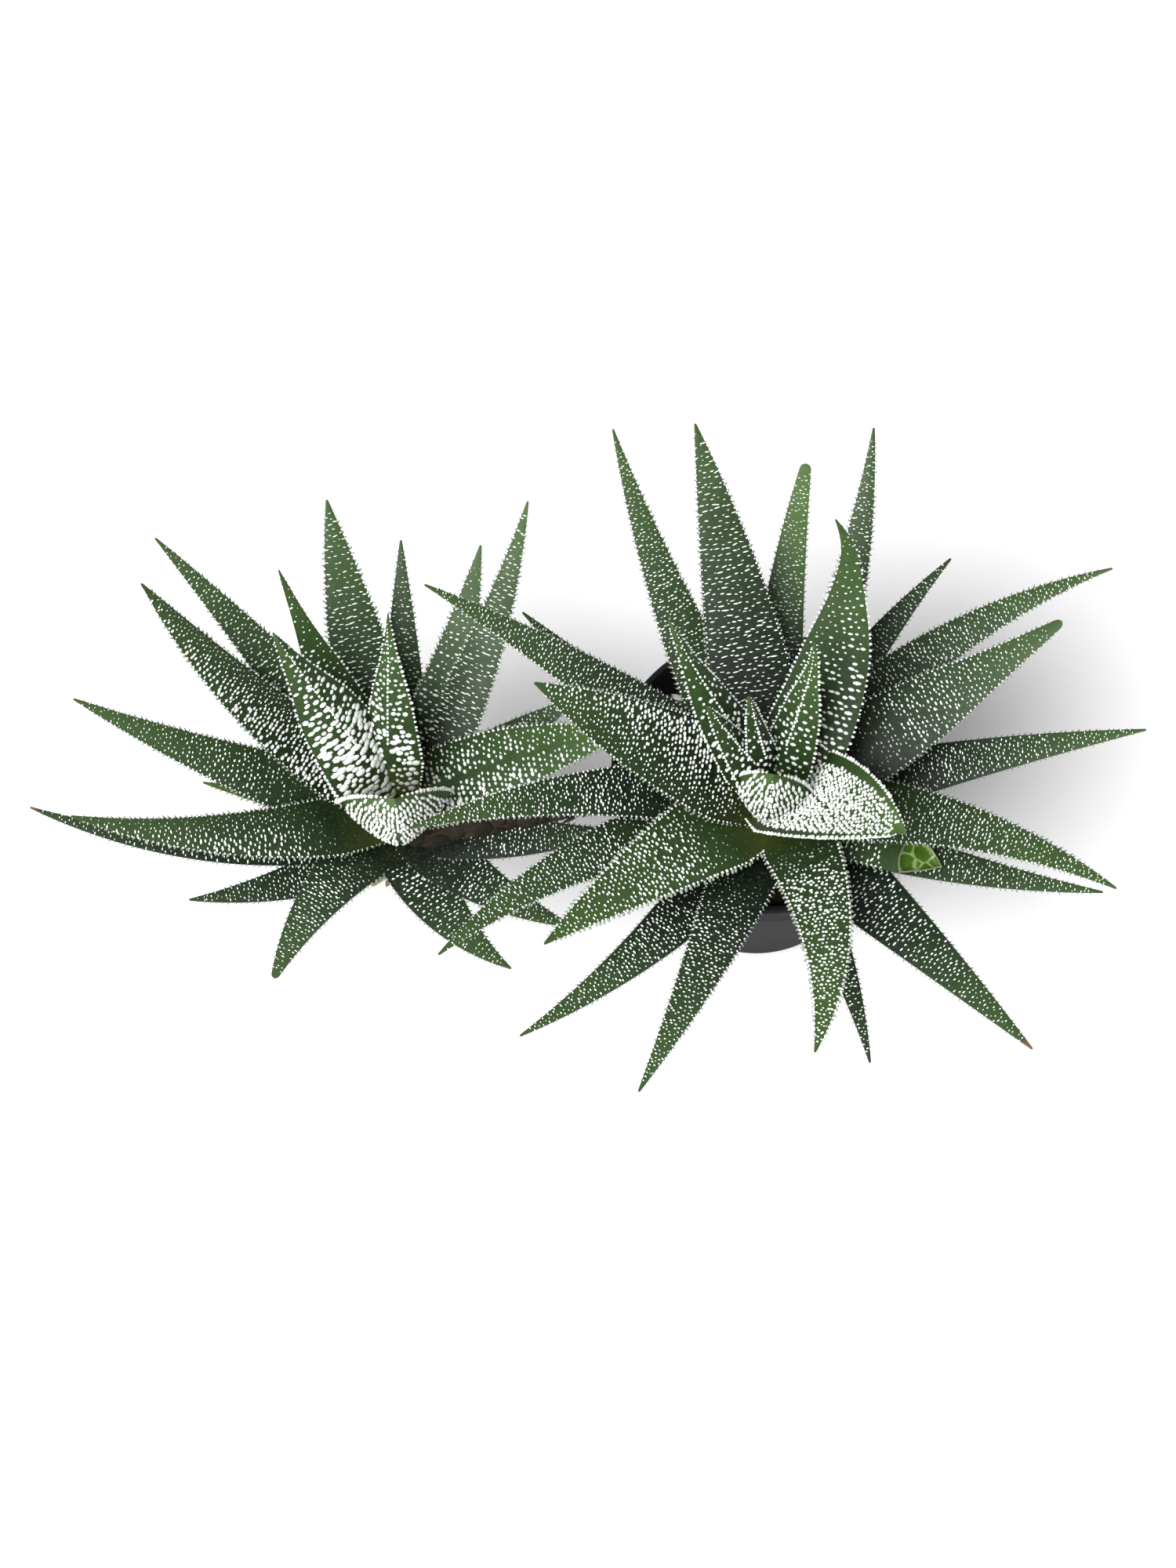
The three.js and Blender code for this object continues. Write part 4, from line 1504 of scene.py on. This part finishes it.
@dataclass
class Rosette:
    """One head: its leaves by zones, their tubercles and teeth, and its stem with withered leaf bases.

    crown and stem are in millimetres, axis is the way that the head faces, and blank, dome, point and scale
    are the shapes that its leaves, tubercles and withered bases are copied from. tone_turn is the part of a
    leaf's length over which tone turns into tip_tone, and dry_reach how many times the dry share withering
    begins and is full. The stem narrows by stem_end over its last rings and ends stem_tip millimetres past
    them.
    """

    name: str
    node: str
    crown: Point
    axis: Point
    stem: Stem
    leaves: dict[Zone, list[Leaf]]
    materials: Materials
    blank: TubeBlank
    dome: Stamp
    point: Stamp
    scale: Stamp
    seed: int
    scraps: tuple[Scrap, ...] = ()
    stem_rows: int = 40
    stem_sides: int = 20
    tone_turn: tuple[float, float] = (0.35, 0.9)
    dry_reach: tuple[float, float] = (1.4, 0.5)
    stem_end: tuple[float, ...] = (0.8, 0.55, 0.3)
    stem_tip: float = 0.3
    bark_share: float = 0.9

    def build(self) -> None:
        """Builds the stem and then each zone's leaves and tubercles."""
        course = StemCourse.of(self.stem, self.stem_rows)
        self.build_bark(course)
        self.build_withered_bases(course)
        for zone, leaves in self.leaves.items():
            forms = [LeafForm(leaf, self.crown, self.axis) for leaf in leaves]
            self.build_skins(zone, forms)
            self.build_tubercles(zone, forms)

    def build_skins(self, zone: Zone, forms: list[LeafForm]) -> None:
        """Builds the skins of one zone as one piece.

        Args:
            zone: The zone.
            forms: Its leaves.
        """
        skins = []
        for form in forms:
            leaf = form.leaf
            rings, tip, s = form.rings()
            tip_tone = leaf.tone if leaf.tip_tone is None else leaf.tip_tone
            tone = leaf.tone + (tip_tone - leaf.tone) * smooth_step(*self.tone_turn, s)
            none = np.zeros_like(s)
            first, full = (1 - leaf.dry * reach for reach in self.dry_reach)
            withered = smooth_step(first, full, s) if leaf.dry else none
            skin = self.blank.laid(rings, tip, s, np.stack([tone, withered, none], axis=-1))
            skin.data.materials.append(self.materials.leaf)
            if leaf.cut_at < 1:
                skin = self.break_off(skin, form)
            skins.append(skin)
        place(joined(skins, smooth_to=50), f"{self.name}_{zone.value}_leaves", "leaf", self.node)

    def break_off(self, skin: bpy.types.Object, form: LeafForm) -> bpy.types.Object:
        """Breaks the end off a leaf along a slanting plane and hollows the break inside its rim.

        Args:
            skin: The whole leaf.
            form: Its form.

        Returns:
            The stub with its hollow.
        """
        where, facing = form.break_plane()
        pick(skin)
        with editing():
            bpy.ops.mesh.bisect(plane_co=where * MM, plane_no=facing, use_fill=True, clear_outer=True)
        fill = max((p for p in skin.data.polygons if p.select), key=lambda p: p.area)
        outline = np.array([skin.data.vertices[i].co for i in fill.vertices]) / MM
        # The fill can start at any point of the break, so the outline is turned to start at its leftmost
        outline = np.roll(outline, -int(outline[:, 0].argmin()), axis=0)
        # Only the fill is still selected
        bpy.ops.object.mode_set(mode="EDIT")
        bpy.ops.mesh.delete(type="ONLY_FACE")
        bpy.ops.object.mode_set(mode="OBJECT")
        stub = joined([skin, self.hollow(outline, facing, form.leaf.tone)], smooth_to=50)
        with editing():
            bpy.ops.mesh.remove_doubles(threshold=0.01 * MM)
            bpy.ops.mesh.normals_make_consistent(inside=False)
        return stub

    def hollow(self, outline: np.ndarray, facing: np.ndarray, tone: float) -> bpy.types.Object:
        """Builds the dry rim and the hollow of a break, ring by ring inwards.

        Args:
            outline: The points round the break, in millimetres.
            facing: The way out of the break.
            tone: The leaf's tone, so that points welded to its skin keep their colour.

        Returns:
            The hollow, open towards the leaf's skin.
        """
        middle, count = outline.mean(axis=0), len(outline)
        points = [middle + (outline - middle) * ring.share + facing * ring.lift for ring in BREAK_RINGS]
        faces, slots = [], []
        for number, ring in enumerate(BREAK_RINGS[1:]):
            first = number * count
            for i in range(count):
                j = (i + 1) % count
                faces.append((first + i, first + j, first + count + j, first + count + i))
                slots.append(ring.slot)
        last = (len(points) - 1) * count
        faces.append(tuple(last + i for i in range(count)))
        slots.append(FLESH_SLOT)
        mesh = bpy.data.meshes.new("break")
        mesh.from_pydata((np.concatenate(points) * MM).tolist(), [], faces)
        for material in (self.materials.leaf, self.materials.dry_rim, self.materials.flesh):
            mesh.materials.append(material)
        mesh.polygons.foreach_set("material_index", slots)
        mesh.uv_layers.new(name="Leaf")
        attribute = mesh.attributes.new("Tone", "FLOAT_COLOR", "POINT")
        attribute.data.foreach_set("color", (tone, 0.0, 0.0, 1.0) * len(mesh.vertices))
        return in_scene("break", mesh)

    def build_tubercles(self, zone: Zone, forms: list[LeafForm]) -> None:
        """Builds the tubercles and teeth of one zone as one piece.

        Args:
            zone: The zone.
            forms: Its leaves.
        """
        growth = Growth()
        for number, form in enumerate(forms):
            rng = np.random.default_rng([self.seed, len(zone.value), number])
            for top in (True, False):
                self.cover_face(form, top, rng, growth)
            for margin in MARGINS[zone]:
                self.edge(form, margin, rng, growth)
            self.dot_keel(form, rng, growth)
        small = zone in (Zone.LOWEST, Zone.SPREADING)
        piece = growth.grown(self.point if small else self.dome, zone.value)
        piece.data.materials.append(self.materials.tubercle)
        place(piece, f"{self.name}_{zone.value}_tubercles", "leaf", self.node)

    def whole(self, form: LeafForm, centres: np.ndarray) -> np.ndarray:
        """Returns which places are on what is left of a leaf."""
        if form.leaf.cut_at >= 1:
            return np.ones(len(centres), dtype=bool)
        where, facing = form.break_plane()
        return (centres - where) @ facing < -BREAK_CLEARANCE

    def strewn(
        self, form: LeafForm, cover: Cover, rng: np.random.Generator
    ) -> tuple[np.ndarray, np.ndarray]:
        """Lays places out in loose rows across a leaf, those of every other row half a pitch on.

        Args:
            form: The leaf.
            cover: How its tubercles stand.
            rng: The leaf's own random draw.

        Returns:
            The share of the length and the place across the leaf, from -1 to 1, for each.
        """
        leaf = form.leaf
        rows = max(2, int(leaf.length * cover.bare_from / cover.row_pitch))
        s_all, u_all = [], []
        for row in range(1, rows):
            s = cover.bare_from * row / rows
            count = int(form.width(np.array([s]))[0] * cover.reach / cover.dot_pitch) + 1
            offset = 0.25 + 0.5 * (row % 2)
            u = (np.arange(count) + offset + rng.normal(0, HABIT.stray, count)) / count * 2 - 1
            bow = HABIT.bow * (1 - u * u)
            s_all.append(s + rng.normal(0, cover.jitter, count) * cover.row_pitch / leaf.length - bow)
            u_all.append(u * cover.reach)
        return np.concatenate(s_all), np.concatenate(u_all)

    def cover_face(self, form: LeafForm, top: bool, rng: np.random.Generator, growth: Growth) -> None:
        """Grows tubercles on one face of a leaf.

        Args:
            form: The leaf.
            top: True for the upper face.
            rng: The leaf's own random draw.
            growth: What the tubercles are added to.
        """
        leaf = form.leaf
        cover = leaf.top if top else leaf.back
        s, u = self.strewn(form, cover, rng)
        start = cover.smooth_to
        grown = smooth_step(start * HABIT.wake, start + HABIT.onset, s) if start > 0 else np.ones(len(s))
        keep = (np.abs(u) < HABIT.last) & (np.abs(u) > cover.keel_gap) & (s > HABIT.first)
        keep &= rng.random(len(s)) > cover.missing + HABIT.thinned * (1 - grown)
        s, u, grown = s[keep], u[keep], grown[keep]
        count, unripe = len(s), 1 - grown
        size = HABIT.smallest + (1 - HABIT.smallest) * grown
        size *= rng.uniform(1 - cover.vary, 1 + HABIT.excess * cover.vary, count)
        size *= cover.base_size + (cover.tip_size - cover.base_size) * smooth_step(*HABIT.swell, s)
        size *= 1 + cover.lean * u
        long = 1 + cover.stretch * rng.random(count) ** 2
        across, along, out = form.axes(s, u, top)
        centres = form.point(s, u, top)
        kept = self.whole(form, centres)
        tilt = rng.normal(0, HABIT.tilt, count)[:, None]
        across, along = across + along * tilt, along - across * tilt
        rise = TUBERCLE_RISE * cover.flat * np.minimum(HABIT.highest, HABIT.rise[0] + HABIT.rise[1] * size)
        # Near the base the tubercles take on the dark skin colour, as painted shade
        shaded = HABIT.old_green - HABIT.tone_fade * leaf.tone
        if leaf.tone > HABIT.young:
            shaded = HABIT.young_green
        green = (1 - smooth_step(0.0, HABIT.green_to, s)) * shaded + HABIT.unripe_green * unripe
        dull = HABIT.unripe_dull * unripe + HABIT.tip_dull * smooth_step(HABIT.dull_from, 1.0, s)
        dull = np.clip(dull + rng.normal(*HABIT.dull, count), 0, 1)
        growth.add(
            kept,
            centres,
            (
                across * (cover.across / 2 * size * long)[:, None],
                along * (cover.along / 2 * size)[:, None],
                out * rise[:, None],
            ),
            (np.full(kept.sum(), leaf.tone), dull[kept], green[kept]),
        )

    def dot_keel(self, form: LeafForm, rng: np.random.Generator, growth: Growth) -> None:
        """Sets the line of beads on a leaf's keel.

        Args:
            form: The leaf.
            rng: The leaf's own random draw.
            growth: What the beads are added to.
        """
        leaf, beads = form.leaf, KEEL_BEADS
        start = beads.start if leaf.cup == 0 else beads.cupped_start
        span = beads.end - start
        count = int(leaf.length * span / beads.pitch)
        s = start + span * (np.arange(count) + beads.first + rng.normal(0, beads.stray, count)) / count
        across, along, out = form.axes(s, np.full(count, beads.beside), False)
        centres = form.point(s, np.zeros(count), False)
        kept = self.whole(form, centres)
        shrunk = 1 - beads.shrink * smooth_step(beads.shrink_from, 1.0, s)
        size = (rng.uniform(*beads.sizes, count) * shrunk)[:, None]
        left = kept.sum()
        growth.add(
            kept,
            centres,
            (across * beads.width * size, along * beads.length * size, out * beads.height * size),
            (np.full(left, leaf.tone), np.full(left, beads.dull), np.zeros(left)),
        )

    def edge(self, form: LeafForm, margin: Margin, rng: np.random.Generator, growth: Growth) -> None:
        """Sets one row of teeth or beads along both margins.

        Args:
            form: The leaf.
            margin: The row.
            rng: The leaf's own random draw.
            growth: What the row is added to.
        """
        leaf, habit = form.leaf, MARGIN_HABIT
        count = int(leaf.length * habit.end / margin.pitch)
        stout = habit.stout[0] + habit.stout[1] * leaf.tone + habit.stout[2] * leaf.cup
        for hand in (-1.0, 1.0):
            s = (np.arange(count) + 0.5 + rng.normal(0, habit.stray, count)) / count * habit.end
            across, along, out = form.axes(s, np.full(count, hand * habit.beside), True)
            centres = form.point(s, np.full(count, hand * margin.inset), True)
            kept = self.whole(form, centres)
            size = rng.uniform(*habit.sizes, count) * stout
            size *= 1 - habit.shrink * smooth_step(habit.shrink_from, 1.0, s)
            size *= habit.base_size + (1 - habit.base_size) * smooth_step(*habit.grown, s)
            size = size[:, None]
            sideways = across * hand * (1 - margin.lift)
            point = unit(sideways + along * margin.ahead + out * (habit.outward + margin.lift))
            ahead = unit(along - point * (along * point).sum(axis=-1, keepdims=True))
            flat = np.cross(point, ahead)
            left = kept.sum()
            growth.add(
                kept,
                centres,
                (ahead * margin.radius * size, flat * margin.radius * size, point * margin.reach * size),
                (np.full(left, leaf.tone), rng.uniform(0.0, habit.dullest, left), np.full(left, margin.skin)),
            )

    def build_bark(self, course: StemCourse) -> None:
        """Lays the bark round the stem and draws it in at its end."""
        turn = 2 * np.pi * np.arange(self.stem_sides) / self.stem_sides
        radius = course.radius(course.share)[:, None] * self.bark_share + np.zeros(self.stem_sides)
        radius[-len(self.stem_end):] *= np.array(self.stem_end)[:, None]
        rings = course.path[:, None, :] + course.side[:, None, :] * (radius * np.cos(turn))[..., None]
        rings = rings + course.up[:, None, :] * (radius * np.sin(turn))[..., None]
        tip = course.path[-1] + course.along[-1] * self.stem_tip
        blank = TubeBlank(self.stem_rows, self.stem_sides)
        piece = joined([blank.laid(rings, tip, course.share, np.zeros((self.stem_rows, 3)))], smooth_to=70)
        piece.data.materials.append(self.materials.bark)
        place(piece, f"{self.name}_stem", "leaf", self.node)

    def build_withered_bases(self, course: StemCourse) -> None:
        """Covers the stem with withered leaf bases in a spiral and adds the loose scraps."""
        bases = WITHERED_BASES
        count = int(course.lengths[-1] / bases.pitch * 2)
        rng = np.random.default_rng(self.seed)
        s = np.linspace(*bases.span, count)
        around = np.radians(bases.turn * np.arange(count)) + rng.normal(0, bases.stray, count)
        path, along = course.at(course.path, s), course.at(course.along, s)
        side, up = course.at(course.side, s), course.at(course.up, s)
        out = side * np.cos(around)[:, None] + up * np.sin(around)[:, None]
        tangent = np.cross(along, out)
        blade = unit(along + out * rng.uniform(*bases.lean, count)[:, None])
        girth = course.radius(s)
        size = (rng.uniform(*bases.sizes, count) * np.minimum(1.0, girth / bases.full_girth))[:, None]
        centres = path + out * (girth * bases.depth)[:, None]
        face = np.cross(tangent, blade)
        face = face * np.sign((face * out).sum(axis=-1, keepdims=True))
        half_width, length, thick = bases.width / 2 * size, bases.length * size, bases.thick * size
        axes = np.stack([tangent * half_width, blade * length, face * thick], axis=1)
        mixing = rng.random(count)[:, None]
        # The darkened browns are painted shade
        tint = np.array(bases.dark) * (1 - mixing) + np.array(bases.light) * mixing
        for scrap in self.scraps:
            foot, end = np.array(scrap.foot), np.array(scrap.end)
            flat = unit(np.cross(end - foot, np.array([0.0, 0.0, 1.0])))
            thick = unit(np.cross(flat, end - foot)) * scrap.thick
            centres = np.vstack([centres, foot])
            axes = np.concatenate([axes, np.stack([flat * scrap.width / 2, end - foot, thick])[None]])
            tint = np.vstack([tint, scrap.tint])
        piece = self.scale.copies(f"{self.name}_scales", centres, axes, tint)
        piece.data.materials.append(self.materials.grit)
        place(piece, f"{self.name}_withered_bases", "leaf", self.node)


# The pot and the soil


@dataclass
class NurseryPot:
    """The thin plastic pot, turned from its profile, with a bead at the rim and drilled drainage holes.

    Sizes are in millimetres. The wall widens by draft towards the rim, whose band is band high and stands
    out by step. The base is hollowed from below by recess, and softened is the size of its rounded edges.
    """

    materials: Materials
    wall: float = 1.4
    floor: float = 1.8
    band: float = 9.0
    step: float = 1.6
    draft: float = 0.4
    base_radius: float = 25.0
    bead: float = 0.7
    recess: float = 0.5
    softened: float = 0.25
    turns: int = 96
    drain_holes: int = 6
    drain_radius: float = 3.0
    drain_circle: float = 18.0
    drill_depth: float = 8.0
    high: Vector = field(default_factory=lambda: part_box("nursery_pot")[1] / MM)

    def profile(self) -> list[tuple[float, float]]:
        """Returns the profile's radii and heights, from the middle of the foot round to that of the floor."""
        top, rim = self.high.z, self.high.x
        foot = top - self.band
        shoulder = rim - self.step - self.draft
        base = self.base_radius
        return [
            (0, self.recess),
            (base * 0.82, self.recess),
            (base * 0.86, 0),
            (base - 1.2, 0),
            (base, 1.1),
            (shoulder, foot - 0.4),
            (shoulder + 0.2, foot),
            (rim - self.draft - self.bead, foot + 0.1),
            (rim - self.draft - 0.2, foot + 0.7),
            (rim - self.bead * 0.6, top - 2.4),
            (rim, top - 1.7),
            (rim, top - 0.8),
            (rim - 0.5, top - 0.1),
            (rim - self.wall, top),
            (rim - self.wall - 0.3, top - 0.6),
            (rim - self.wall - self.draft, foot + 2.0),
            (shoulder - self.wall, foot - 0.4),
            (base - self.wall, self.floor + 0.6),
            (base - self.wall - 0.8, self.floor),
            (0, self.floor),
        ]

    def build(self) -> None:
        """Spins the profile, drills the drainage holes and softens the edges."""
        piece = spun("pot_profile", self.profile(), self.turns)
        self.drill(piece)
        sharp = math.radians(35)
        finish_modifier(
            piece, "BEVEL", width=self.softened * MM, segments=2, limit_method="ANGLE", angle_limit=sharp
        )
        pick(piece)
        bpy.ops.object.shade_smooth_by_angle(angle=math.radians(40))
        piece.data.materials.append(self.materials.pot)
        place(piece, "nursery_pot_body", "pot_plastic", "nursery_pot")

    def drill(self, piece: bpy.types.Object) -> None:
        """Cuts the drainage holes through the floor of the pot."""
        drills = []
        for number in range(self.drain_holes):
            turn = 2 * math.pi * number / self.drain_holes
            reach = self.drain_circle * MM
            where = (reach * math.cos(turn), reach * math.sin(turn), 0)
            deselect()
            bpy.ops.mesh.primitive_cylinder_add(
                vertices=28, radius=self.drain_radius * MM, depth=self.drill_depth * MM, location=where
            )
            drills.append(bpy.context.object)
        drill = joined(drills, smooth_to=30)
        settle(drill)
        finish_modifier(piece, "BOOLEAN", operation="DIFFERENCE", solver="EXACT", object=drill)
        bpy.data.objects.remove(drill)


@dataclass(frozen=True)
class Grains:
    """One kind of loose grain on the soil: its shape, number, sizes in millimetres and colours."""

    name: str
    seed: int
    flatness: float
    number: int
    sizes: tuple[float, float]
    dark: Colour
    light: Colour


GRAINS = (
    Grains("crumbs", 11, 0.8, 900, (0.35, 1.0), (0.022, 0.013, 0.008), (0.10, 0.065, 0.04)),
    Grains("bark_chips", 5, 0.35, 150, (0.9, 2.1), (0.025, 0.016, 0.009), (0.10, 0.065, 0.038)),
    Grains("perlite", 23, 0.85, 110, (0.5, 1.25), (0.55, 0.54, 0.50), (0.82, 0.81, 0.78)),
)


@dataclass
class PottingSoil:
    """The plug of soil with its crumbly top, and the loose grains that lie on it.

    Sizes are in millimetres. Each of waves has its height, its closeness along the radius and its number
    round the plug, and each of lumps its height, its closeness and its layer of the noise.
    """

    materials: Materials
    top: float = 49.5
    edge_drop: float = 3.0
    foot_share: float = 0.74
    rings: int = 34
    turns: int = 110
    seed: int = 7
    waves: tuple[Point, ...] = ((0.9, 2.1, 5.0), (0.54, 1.3, -9.0))
    wave_share: float = 0.55
    lumps: tuple[Point, ...] = ((0.9, 0.55, 0.0), (0.45, 1.4, 3.0))
    bare_edge: float = 1.6
    grain_lift: float = 0.15
    grain_lean: float = 0.25
    low: Vector = field(default_factory=lambda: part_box("soil")[0] / MM)
    high: Vector = field(default_factory=lambda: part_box("soil")[1] / MM)

    def height(self, x: float, y: float) -> float:
        """Returns the height of the soil's top in millimetres, with its waves and crumbs."""
        radius, turn = math.hypot(x, y), math.atan2(y, x)
        wave = sum(high * math.sin(close * radius + number * turn) for high, close, number in self.waves)
        lump = sum(high * noise.noise(Vector((x, y, layer)) * close) for high, close, layer in self.lumps)
        return self.top + self.wave_share * wave + lump

    def build(self) -> None:
        """Spins the plug, roughens its top and scatters the grains."""
        wide, foot = self.high.x, self.low.z
        edge = self.top - self.edge_drop
        outline = [(0, foot), (wide * self.foot_share, foot), (wide, edge)]
        outline += [(wide * (1 - i / self.rings), self.top) for i in range(1, self.rings)]
        outline += [(0, self.top)]
        piece = spun("soil_outline", outline, self.turns)
        for vertex in piece.data.vertices:
            if vertex.co.z > (self.top - 0.1) * MM:
                vertex.co.z = self.height(vertex.co.x / MM, vertex.co.y / MM) * MM
        bpy.ops.object.shade_smooth_by_angle(angle=math.radians(60))
        piece.data.materials.append(self.materials.soil)
        place(piece, "potting_soil_plug", "potting_soil", "soil")
        self.scatter()

    def scatter(self) -> None:
        """Scatters crumbs, bark and perlite over the soil's top."""
        rng = np.random.default_rng(self.seed)
        for grains in GRAINS:
            stamp, count = Stamp.chip(grains.seed, grains.flatness), grains.number
            radius = (self.high.x - self.bare_edge) * np.sqrt(rng.random(count))
            turn = rng.uniform(0, 2 * np.pi, count)
            x, y = radius * np.cos(turn), radius * np.sin(turn)
            size = rng.uniform(*grains.sizes, count)
            z = np.array([self.height(a, b) for a, b in zip(x, y)]) + size * self.grain_lift
            yaw, lean = rng.uniform(0, 2 * np.pi, count), rng.normal(0, self.grain_lean, (2, count))
            first = np.stack([np.cos(yaw), np.sin(yaw), lean[0]], axis=-1)
            second = np.stack([-np.sin(yaw), np.cos(yaw), lean[1]], axis=-1)
            axes = np.stack([first, second, np.cross(first, second)], axis=1) * size[:, None, None]
            mixing = rng.random(count)[:, None]
            tint = np.array(grains.dark) * (1 - mixing) + np.array(grains.light) * mixing
            piece = stamp.copies(grains.name, np.stack([x, y, z], axis=-1), axes, tint, smooth=False)
            piece.data.materials.append(self.materials.grit)
            place(piece, f"potting_soil_{grains.name}", "potting_soil")


# The studio


@dataclass
class Studio:
    """The floor, the lights and the camera.

    aim, distance and floor_gap are in millimetres, floor_size is in metres, and elevation is the camera's
    angle above the horizon in degrees. ambient lights the plant, and backdrop is what the camera sees past
    the floor.
    """

    materials: Materials
    aim: Point = (-40.3, -9.8, 72.0)
    distance: float = 900.0
    elevation: float = 68.0
    long_side_pixels: float = 2000.0
    pixels_per_mm: float = 5.67
    sensor: float = 36.0
    floor_size: float = 6.0
    floor_gap: float = 0.1
    ambient: float = 0.1
    backdrop: float = 0.98

    def build(self) -> None:
        """Builds the floor, lights and camera."""
        deselect()
        bpy.ops.mesh.primitive_plane_add(size=self.floor_size, location=(0, 0, -self.floor_gap * MM))
        floor = bpy.context.object
        floor.name = "studio_floor"
        floor.data.materials.append(self.materials.floor)
        self.sun("key", tilt=(-28.0, -26.0), strength=5.4, spread=48.0)
        self.sun("fill", tilt=(35.0, 15.0), strength=0.7, spread=60.0)
        self.surround()
        self.camera()

    def surround(self) -> None:
        """Builds the even white surround, as bright to the eye as the floor."""
        world = bpy.data.worlds.new("studio")
        world.use_nodes = True
        graph = Graph(world.node_tree)
        seen = graph.add("ShaderNodeLightPath").outputs["Is Camera Ray"]
        background = world.node_tree.nodes["Background"]
        graph.put(background.inputs["Color"], (1.0, 1.0, 1.0))
        brightness = graph.spread(seen, (0.0, 1.0), (self.ambient, self.backdrop))
        graph.put(background.inputs["Strength"], brightness)
        bpy.context.scene.world = world

    def sun(self, name: str, tilt: tuple[float, float], strength: float, spread: float) -> None:
        """Adds a soft distant light.

        Args:
            name: The light's name.
            tilt: How far it leans towards +X and towards +Y from straight above, in degrees.
            strength: Its strength.
            spread: How wide it looks, in degrees. A wide one casts soft shadows.
        """
        data = bpy.data.lights.new(name, "SUN")
        data.energy = strength
        data.angle = math.radians(spread)
        lamp = in_scene(name, data)
        lamp.location = (0, 0, 1)
        lamp.rotation_euler = (-math.radians(tilt[1]), math.radians(tilt[0]), 0)

    def camera(self) -> None:
        """Sets the camera at the photographed view."""
        data = bpy.data.cameras.new("camera")
        data.sensor_width = self.sensor
        covered = self.long_side_pixels / self.pixels_per_mm
        data.lens = self.sensor * self.distance / covered
        data.clip_start, data.clip_end = 0.05, 20.0
        camera = in_scene("camera", data)
        tilt = math.radians(self.elevation)
        back = Vector((0.0, -math.cos(tilt), math.sin(tilt)))
        camera.location = (Vector(self.aim) + back * self.distance) * MM
        camera.rotation_euler = (math.radians(90) - tilt, 0.0, 0.0)
        bpy.context.scene.camera = camera


def main() -> None:
    """Builds the plant, its pot and the studio, in that order."""
    logging.basicConfig(level=logging.INFO, format="%(name)s: %(message)s")
    bpy.context.scene.view_settings.view_transform = "Standard"
    materials = Materials()
    blank = TubeBlank(LEAF_ROWS, SECTION)
    shared = (materials, blank, Stamp.dome(), Stamp.point(), Stamp.scale())
    right = (RIGHT_CROWN, RIGHT_AXIS, RIGHT_STEM, RIGHT_LEAVES)
    left = (LEFT_CROWN, LEFT_AXIS, LEFT_STEM, LEFT_LEAVES)
    Rosette("right_head", "rosette_right", *right, *shared, seed=31).build()
    Rosette("left_head", "rosette_left", *left, *shared, seed=57, scraps=LEFT_SCRAPS).build()
    NurseryPot(materials).build()
    PottingSoil(materials).build()
    Studio(materials).build()


if __name__ == "__main__":
    main()
